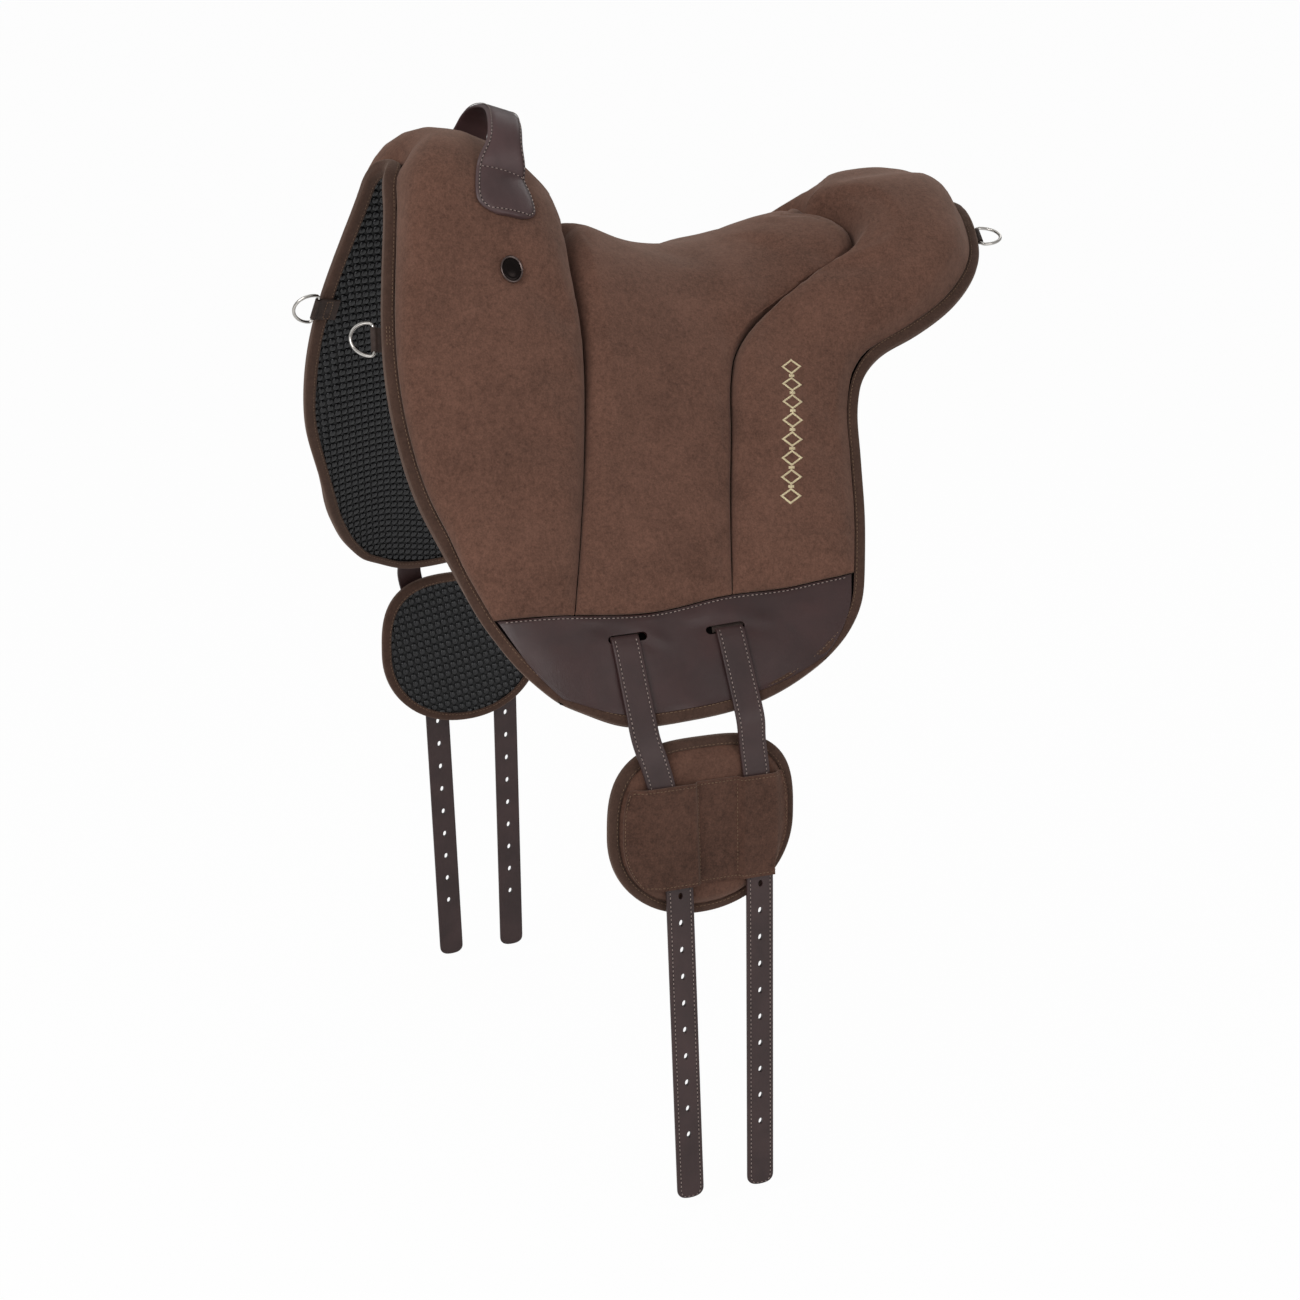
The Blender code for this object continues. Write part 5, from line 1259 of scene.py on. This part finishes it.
def make_sleeve(side, word, put, rows_sewn):
    """The sleeve: flat between its tunnels, raised over the billets."""
    raised = BILLET + 2 * BILLET_CLEARANCE
    zs = np.linspace(*SLEEVE_SPAN, 34)
    ts = np.linspace(-1.0, 1.0, 90)
    net, seams = [], [[], []]
    for z in zs:
        first, last = sleeve_edges(z)
        y = first + (last - first) * (ts + 1) / 2
        height = np.full(len(y), GAP)
        for index in (0, 1):
            left, right = tunnel(index, GUARD_DROP - z)
            before = 1.6 * SLEEVE_LIFT if index else (left - first + SLEEVE_LIFT) * 0.9
            after = (last - right + SLEEVE_LIFT) * 0.9 if index else 1.6 * SLEEVE_LIFT
            rise = ease((y - left - SLEEVE_LIFT + before) / before)
            rise = rise * ease((right - SLEEVE_LIFT + after - y) / after)
            height = np.maximum(height, GAP + (raised - GAP) * rise)
            seams[index].append((left if index else right, z))
        net.append(np.stack([height, y, np.full(len(y), z)], axis=-1))
    net = np.array(net)
    slack = 0.0005 * (1 + noise(net, 0.035, 50 + side)) * ease((net[..., 0] - GAP) / (raised - GAP))
    upper = net + OUTWARD * (SLEEVE + slack)[..., None]
    points, faces = slab(upper, net + OUTWARD * slack[..., None])
    body = f"{word}_guard"
    piece(f"guard_pocket_{word}", put(points), faces, SUEDE_DARK, body,
          (f"guard_sleeve_{word}",), "suede", 60)

    def on_sleeve(y, z):
        """A point on the sleeve's outer face."""
        row = np.interp(z, zs[::-1], np.arange(len(zs))[::-1])
        j = min(int(row), len(zs) - 2)
        a, b = (np.interp(y, upper[k, :, 1], upper[k, :, 0]) for k in (j, j + 1))
        return np.array([a + (b - a) * (row - j), y, z])

    rows = []
    for z in (SLEEVE_SPAN[0] - 0.0028, SLEEVE_SPAN[1] + 0.0028):
        first, last = sleeve_edges(z)
        rows.append([(y, z) for y in np.linspace(first + 0.003, last - 0.003, 160)])
    for end, shift in ((0, 0.0016), (1, -0.0016)):
        rows.append([(sleeve_edges(z)[end] + shift, z)
                     for z in np.linspace(SLEEVE_SPAN[0] - 0.003, SLEEVE_SPAN[1] + 0.003, 50)])
    for seam, shift in zip(seams, (0.0015, -0.0015)):
        rows.append([(y + shift, z) for y, z in seam[2:-2]])
    for row in rows:
        points = put([on_sleeve(y, z) for y, z in row])
        rows_sewn.append(row_of(points, OUTWARD * side, *POCKET_ROW))


# Rings and their tabs

def inward_of(line, share):
    """A spot of an edge line, its way along and the way into the pad."""
    edge, along = line.at(share)[0], line.direction(share)[0]
    inward = np.array([-along[1], along[0]])
    return edge, along, -inward if inward[0] * edge[0] > 0 else inward


def ring_frame(line, share, side):
    """Centre and axes of a tab under the tape, seated on nine spots of the underside."""
    edge, along_edge, inward = inward_of(line, share)
    found = {}
    for u in (-0.5, 0.0, 0.5):
        for v in (0.0, 0.5, 1.0):
            y, s = edge + along_edge * u * TAB_WIDTH + inward * v * TAB_TAIL
            found[u, v] = BACK.lifted(y, s, -GAP - BINDING) * [side, 1.0, 1.0]
    middle = found[0.0, 0.0]
    out = unit(middle - found[0.0, 1.0])
    up = unit(np.cross(out, found[0.5, 0.0] - found[-0.5, 0.0]))
    if up[2] < 0:
        up = -up
    dip = min((spot - middle) @ up for spot in found.values())
    return middle + up * (dip - 0.0006 - TAB), out, np.cross(up, out), up


def wire_path():
    """Centre line of a D-ring: x away from the bar, y along it."""
    half = RING_INSIDE / 2 + RING_WIRE / 2
    depth = RING_DEPTH - RING_WIRE
    corner = half - TAB_WIDTH / 2 - GAP
    end = half - corner
    quarter = np.radians(np.linspace(0, 90, 7))
    line = [(0.0, w) for w in np.linspace(-end, end, 8)]
    line += [(corner - corner * math.cos(a), end + corner * math.sin(a)) for a in quarter[1:]]
    line += [(corner + (depth - corner) * math.sin(a), half * math.cos(a))
             for a in np.linspace(0, math.pi, 40)[1:-1]]
    line += [(corner - corner * math.sin(a), -end - corner * math.cos(a)) for a in quarter[:-1]]
    return np.array(line)


def tab_path():
    """Centre line of a tab's two layers, which part round the ring's bar."""
    eye = RING_WIRE / 2 + GAP + TAB / 2
    bend = np.radians(np.linspace(157.0, -157.0, 26))
    upper = [(-TAB_TAIL, TAB / 2), (-TAB_TAIL / 2, TAB / 2), (-0.001, TAB / 2)]
    path = upper + [(RING_OUT + eye * math.cos(a), eye * math.sin(a)) for a in bend]
    path += [(x, -z) for x, z in upper[::-1]]
    return evenly(smoothed(evenly(np.array(path), 0.0008), 2), 0.0007)


TAB_BOX = ((-0.0035, -0.42), (-0.0035, 0.42), (-0.0095, 0.42), (-0.0095, -0.42), (-0.0035, -0.42))


def make_rings(sewn):
    wire, path = wire_path(), tab_path()
    tangent = unit(np.roll(wire, -1, 0) - np.roll(wire, 1, 0))
    aside = np.stack([tangent[:, 1], -tangent[:, 0]], axis=-1)
    turns = np.linspace(0, 2 * np.pi, 16, endpoint=False)
    tangents = unit(np.gradient(path, axis=0))
    for end, (points, s) in RING_SPOTS.items():
        line = Line(points)
        share = line.share_at_s(s)
        for side, word in SIDES:
            where = f"{end}_{word}"
            centre, out, along, up = ring_frame(line, share, side)
            rings = []
            for (x, w), (away, beside) in zip(wire, aside):
                middle = centre + out * RING_OUT + out * x + along * w
                way = out * away + along * beside
                rings.append([middle + (way * math.cos(a) + up * math.sin(a)) * RING_WIRE / 2
                              for a in turns])
            piece(f"ring_{where}", *tube(rings, closed=True), NICKEL, f"ring_{where}",
                  (f"d_ring_{where}",), "nickel")
            rings, _, _ = ribbon(
                centre + path[:, :1] * out + path[:, 1:] * up,
                tangents[:, 1:] * -out + tangents[:, :1] * up, TAB_WIDTH / 2, TAB * 0.94,
                groove=0.0001, inset=0.002, round_edge=0.0005)
            piece(f"tab_{where}", *tube(rings), WEB, "pad", (f"ring_tab_{where}",), "binding", 60)
            box = evenly(np.array([centre + out * u + along * w * TAB_WIDTH for u, w in TAB_BOX]),
                         0.0005)
            sewn["tape"].append(row_of(box - up * (TAB + STITCH_LIFT), -up, *TAB_ROW))
            edge, way, inward = inward_of(line, share)
            for inset in (0.0025, 0.0052):
                y, s_row = np.array([edge + inward * inset + way * w * TAB_WIDTH
                                     for w in np.linspace(-0.42, 0.42, 20)]).T * [[1.0], [side]]
                spots_on = BACK.lifted(y, s_row, BASE + BINDING + 2 * STITCH_LIFT)
                sewn["tape"].append(row_of(spots_on, BACK.normal(y, s_row), *TAB_ROW))


# Handle, badge and motif

def spade_half(share):
    """Half width of the handle from the stitch line (0) to its round tip (1)."""
    stitch, widest, _ = HANDLE_WIDTHS
    swell = stitch + (widest - stitch) * np.sin(np.pi / 2 * np.minimum(share / 0.6, 1.0))
    past = np.clip((share - 0.6) / 0.42, 0.0, 0.995)
    return np.where(share > 0.6, widest * np.sqrt(1 - past**2.6), swell) / 2


SPADE_ROWS = 18
ARCH_ROWS = 26
BLEND_ROWS = 7                              # how many rows lead from the spade into the arch


def handle_half(tree, side):
    """Sections of half a handle, from its round tip up to its top, and their outward ways."""
    foot_y, foot_down = HANDLE_FOOT
    widths = np.linspace(-1.0, 1.0, 13)
    rows_low, rows_way = [], []
    for share in 1 - np.linspace(0.0, 1.0, SPADE_ROWS)**1.4:
        y = foot_y + (SPADE_TIP_Y - foot_y) * share + HANDLE_TWIST * (side < 0)
        s = (foot_down + SPADE_LENGTH * share) * side
        half = float(spade_half(np.array(share)))
        first, _ = laid(tree, np.array([y - half, y + half]), np.array([s, s]), 0.0)
        spread = 2 * half * 2 * half / max(np.linalg.norm(first[1] - first[0]), 1e-6) / 2
        spots_on, ways = laid(tree, y + widths * spread, np.full(len(widths), s), 0.0008)
        rows_low.append(spots_on)
        rows_way.append(ways)
    rows_low, rows_way = np.array(rows_low), np.array(rows_way)
    for _ in range(2):
        rows_low[1:-1] = ((rows_low[:-2] + 2 * rows_low[1:-1] + rows_low[2:]) / 4
                          + rows_way[1:-1] * 0.00008)
    foot_mid = (rows_low[-1, 5] + rows_low[-1, 7]) / 2
    slope = unit(rows_low[-1, -1] - rows_low[-1, 0])
    tilt = math.radians(HANDLE_TILT)
    apex_y = HANDLE_APEX[0] - HANDLE * math.sin(tilt)
    apex_z = HANDLE_APEX[1] - HANDLE * math.cos(tilt)
    arch_low, arch_way = [], []
    for k in range(1, ARCH_ROWS + 1):
        f = k / ARCH_ROWS
        turn = math.radians(90.0 * f)
        bulge = math.cos(turn)**0.75 if k < ARCH_ROWS else 0.0
        centre = np.array([foot_mid[0] * bulge, foot_mid[1] + (apex_y - foot_mid[1]) * f,
                           foot_mid[2] + (apex_z - foot_mid[2]) * math.sin(turn)])
        wide = HANDLE_WIDTHS[0] + (HANDLE_WIDTHS[2] - HANDLE_WIDTHS[0]) * ease(f * 2.4)
        outward = np.array([side * math.cos(turn), math.sin(turn) * math.sin(tilt * f),
                            math.sin(turn) * math.cos(tilt * f)])
        across = slope * (1 - f**2) + np.array([0.0, math.cos(tilt), -math.sin(tilt)]) * f**2
        across = unit(across - outward * (across @ outward))
        arch_low.append([centre + across * w * wide / 2 for w in widths])
        arch_way.append([outward] * len(widths))
    arch_low, arch_way = np.array(arch_low), np.array(arch_way)
    for k in range(BLEND_ROWS):
        f = ease((k + 1) / (BLEND_ROWS + 1))
        sag = (rows_low[-1] - foot_mid) - (arch_low[k] - arch_low[k].mean(axis=0))
        arch_low[k] += sag * (1 - f)
        arch_way[k] = unit(arch_way[k] * f + rows_way[-1] * (1 - f))
    low = np.concatenate([rows_low, arch_low])
    way = np.concatenate([rows_way, arch_way])
    for _ in range(3):
        low[1:-1] = (low[:-2] + 2 * low[1:-1] + low[2:]) / 4
        way[1:-1] = unit(way[:-2] + 2 * way[1:-1] + way[2:])
    low[-1, :, 0] = 0.0
    return low, way, len(rows_low) - 1


def make_handle(tree, sewn):
    low, way, foot_row = handle_half(tree, 1.0)
    off_low, off_way, _ = handle_half(tree, -1.0)
    low = np.concatenate([low, off_low[-2::-1]])
    way = np.concatenate([way, off_way[-2::-1]])
    arch = slice(foot_row + 4, -foot_row - 4)
    for _ in range(3):
        low[arch] = smoothed(low, 1)[arch]
        way[arch] = unit(smoothed(way, 1))[arch]
    # A soft-edged section: flat stitched borders with a slightly filled middle
    w = np.abs(np.linspace(-1.0, 1.0, low.shape[1]))
    outer = w > 0.99
    last = len(low) - 1
    rows = np.arange(last + 1)
    from_foot = np.minimum(np.abs(rows - foot_row), np.abs(rows - last + foot_row))
    thick = HANDLE * (0.74 + 0.26 * np.sqrt(np.clip(1 - w**6, 0, 1)))
    thick = thick - 0.0004 * np.exp(-((w - 0.82) / 0.06)**2)
    thick = thick[None, :] - 0.0006 * np.exp(-(from_foot / 0.8)**2)[:, None]
    upper = low + way * (thick * np.where(outer, 0.45, np.where(w > 0.8, 0.9, 1.0)))[..., None]
    lower = low + way * (HANDLE * 0.12 * outer)[None, :, None]
    points, faces = slab(upper, lower)
    obj = piece("handle_grip", points, faces, GRIP, "pad", ("grab_handle",), "leather")
    smooth = obj.modifiers.new("round", "SUBSURF")
    smooth.levels = smooth.render_levels = 1
    # One stitched line round the whole handle, and one across it at each foot
    inset = 0.0034
    tip = 3
    top = low + way * ((thick + 0.0002) * np.where(outer, 0.7, 1.0))[..., None]

    def across_row(j):
        return resample(top[j], np.linspace(inset, runs_of(top[j])[-1] - inset, 24))

    inner_rows = range(tip, last + 1 - tip)
    left = [resample(top[j], [inset])[0] for j in inner_rows]
    right = [resample(top[j][::-1], [inset])[0] for j in inner_rows]
    ways = [way[j, 6] for j in inner_rows]
    loop = np.concatenate([left, across_row(last - tip)[1:-1], right[::-1],
                           across_row(tip)[-2::-1]])
    loop_ways = np.concatenate([ways, [way[last - tip, 6]] * 22, ways[::-1], [way[tip, 6]] * 23])
    sewn["leather"].append(row_of(loop, loop_ways))
    for j in (foot_row, last - foot_row):
        sewn["leather"].append(row_of(across_row(j), way[j, 6]))


def make_badge(tree):
    y, s, width, height = BADGE
    ys = np.array([y - width / 2, y, y + width / 2] * 3)
    ss = np.repeat([s - height / 2, s, s + height / 2], 3)
    spots_on, _ = laid(tree, ys, ss, 0.0)
    down = unit(spots_on[7] - spots_on[1])
    outward = unit(np.cross(down, spots_on[5] - spots_on[3]))
    across = np.cross(outward, down)
    middle = spots_on[4]
    lift = max((spot - middle) @ outward for spot in spots_on) + 0.0006

    def ovals(rows):
        turn = np.linspace(0, 2 * np.pi, 56, endpoint=False)
        return tube([[middle + down * share * height / 2 * math.cos(a)
                      + across * share * width / 2 * math.sin(a) + outward * (lift + rise)
                      for a in turn] for share, rise in rows])

    rim = [(0.80, 0.0), (0.985, 0.0), (1.0, 0.0006), (0.985, 0.0013), (0.94, 0.0018),
           (0.89, 0.0017), (0.855, 0.0013), (0.84, 0.0009), (0.80, 0.0008)]
    face = [(0.835, 0.0009), (0.80, 0.00115), (0.62, 0.0014), (0.585, 0.00128), (0.55, 0.0015),
            (0.30, 0.0019), (0.05, 0.0021)]
    piece("badge_rim", *ovals(rim), GUNMETAL, "pad", ("badge_plate",), "badge_metal")
    piece("badge_face", *ovals(face), ENAMEL, "pad", (), "badge_metal")


def make_motif(tree):
    """A row of embroidered lozenges with knots between them, in gold thread."""
    start, end, count = np.array(LOZENGES[0]), np.array(LOZENGES[1]), LOZENGES[2]
    along = unit(end - start)
    across = np.array([along[1], -along[0]])
    length = np.linalg.norm(end - start)
    rows = []

    def sew(middle, u, a, b):
        ends = np.array([middle + along * u + across * w for w in (a, b)])
        spots_on, ways = laid(tree, ends[:, 0], ends[:, 1], 0.00012)
        rows.append((spots_on[:1], spots_on[1:], ways[:1]))

    wide, tall, band = 0.0100, 0.0075, 0.0030   # half sizes of a lozenge, width of its band
    for k in range(count):
        middle = start + along * length * (k + 0.5) / count
        for u in np.linspace(-0.0072, 0.0072, 25):
            half = wide * (1 - abs(u) / tall)
            inner = half - band
            if inner < 0.0003:
                sew(middle, u, -half, half)
            else:
                sew(middle, u, -half, -inner)
                sew(middle, u, inner, half)
        if k < count - 1:
            for u in (-0.0009, -0.0003, 0.0003, 0.0009):
                sew(middle + along * length / count / 2, u, -band, band)
    stitches("motif_thread", rows, THREAD_GOLD, "pad", GOLD_RADIUS, "binding")


# The girth webbings stay as packed, hidden under the cushions

def finish_nodes():
    for node in ("webbing_front", "webbing_rear"):
        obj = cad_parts[node]
        obj.data.materials.clear()
        obj.data.materials.append(WEB)


# Stage, light and camera

def make_stage():
    made = Finish("floor_white", WHITE[:3], 0.9)
    tree = made.tree
    glow = add_node(tree, "ShaderNodeEmission", {"Color": WHITE, "Strength": 1.0})
    seen = add_node(tree, "ShaderNodeLightPath").outputs["Is Camera Ray"]
    mix = add_node(tree, "ShaderNodeMixShader", {
        0: made.sum((seen, 0.97)), 1: made.shader.outputs[0], 2: glow.outputs[0]})
    tree.links.new(mix.outputs[0], tree.nodes["Material Output"].inputs["Surface"])
    size, z = 30.0, -BILLET_TIP_DROP - 0.012
    corners = [(-size, -size, z), (size, -size, z), (size, size, z), (-size, size, z)]
    piece("floor", corners, [(0, 1, 2, 3)], made.made, closed=False)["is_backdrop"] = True
    world = bpy.data.worlds.new("studio")
    world.use_nodes = True
    tree = world.node_tree
    back = tree.nodes["Background"]
    back.inputs["Color"].default_value = WHITE
    back.inputs["Strength"].default_value = 1.0
    dim = add_node(tree, "ShaderNodeBackground", {"Color": WHITE, "Strength": 0.36})
    seen = add_node(tree, "ShaderNodeLightPath").outputs["Is Camera Ray"]
    mix = add_node(tree, "ShaderNodeMixShader", {0: seen, 1: dim.outputs[0], 2: back.outputs[0]})
    tree.links.new(mix.outputs[0], tree.nodes["World Output"].inputs["Surface"])
    bpy.context.scene.world = world


def way_to(azimuth, elevation):
    """The way from the pad to a viewer or a lamp."""
    a, e = math.radians(azimuth), math.radians(elevation)
    return Vector((math.sin(a) * math.cos(e), -math.cos(a) * math.cos(e), math.sin(e)))


# Name, azimuth from the camera's, elevation, distance, size, power
LAMPS = [("key", -30, 30, 2.6, (1.3, 1.3), 25.0), ("fill", 38, 14, 2.8, (1.6, 2.2), 13.0),
         ("top", -90, 68, 2.4, (2.2, 1.4), 4.0), ("rim", 150, 38, 2.8, (1.4, 1.4), 8.0)]


def make_light():
    for name, azimuth, elevation, distance, size, power in LAMPS:
        way = way_to(AZIMUTH + azimuth, elevation)
        light = bpy.data.lights.new(name, "AREA")
        light.shape = "RECTANGLE"
        light.size, light.size_y = size
        light.energy = power
        obj = bpy.data.objects.new(name, light)
        obj.location = Vector(AIM) + way * distance
        obj.rotation_mode = "QUATERNION"
        obj.rotation_quaternion = way.to_track_quat("Z", "Y")
        bpy.context.scene.collection.objects.link(obj)


def make_camera():
    a = math.radians(AZIMUTH)
    back = way_to(AZIMUTH, ELEVATION)
    right = Vector((math.cos(a), math.sin(a), 0.0))
    data = bpy.data.cameras.new("camera")
    data.sensor_width = 36.0
    data.lens = LENS
    data.clip_end = 100.0
    camera = bpy.data.objects.new("camera", data)
    camera.matrix_world = Matrix.Translation(back * DISTANCE + Vector(AIM)) @ Matrix(
        (right, back.cross(right), back)).transposed().to_4x4()
    bpy.context.scene.collection.objects.link(camera)
    bpy.context.scene.camera = camera


def main():
    bpy.context.scene.view_settings.view_transform = "Standard"
    make_camera()
    make_light()
    make_stage()
    finish_nodes()
    sewn = defaultdict(list)
    cushions = {name: cushion(name, spec, 20 + 7 * spec["index"])
                for name, spec in CUSHIONS.items()}
    make_lining()
    make_flaps(sewn)
    make_binding(sewn)
    for side, word in SIDES:
        for index in (0, 1):
            make_billet(side, word, index, sewn)
        make_guard(side, word, sewn)
    make_rings(sewn)
    front_tree = tree_of(cushions["front_panel"])
    make_handle(front_tree, sewn)
    make_badge(front_tree)
    make_motif(tree_of(cushions["cantle_panel"]))

    def sew_leather(key, body, threads, marks):
        stitches(threads, sewn[key], THREAD, body, THREAD_RADIUS, "leather")
        # The needle marks are near-black, as painted shade in the grooves between the stitches.
        stitches(marks, holes_of(sewn[key]), GROOVE_SHADE, body, MARK_RADIUS, "leather")

    sew_leather("leather", "pad", "stitches_leather", "needle_marks_leather")
    stitches("stitches_tape", sewn["tape"], THREAD_DARK, "pad", FINE_RADIUS, "binding")
    for _, word in SIDES:
        straps, guard = f"{word}_billets", f"{word}_guard"
        sew_leather(straps, straps, f"stitches_straps_{word}", f"needle_marks_{word}")
        stitches(f"stitches_pocket_{word}", sewn[guard], THREAD_DARK, guard, FINE_RADIUS, "suede")
        stitches(f"stitches_guard_{word}", sewn[guard + "_tape"], THREAD_DARK, guard, FINE_RADIUS,
                 "binding")


main()
bpy.context.view_layer.update()
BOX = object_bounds()
{"cad": [list(CAD_BOX[0]), list(CAD_BOX[1])], "visual": [list(BOX[0]), list(BOX[1])]}
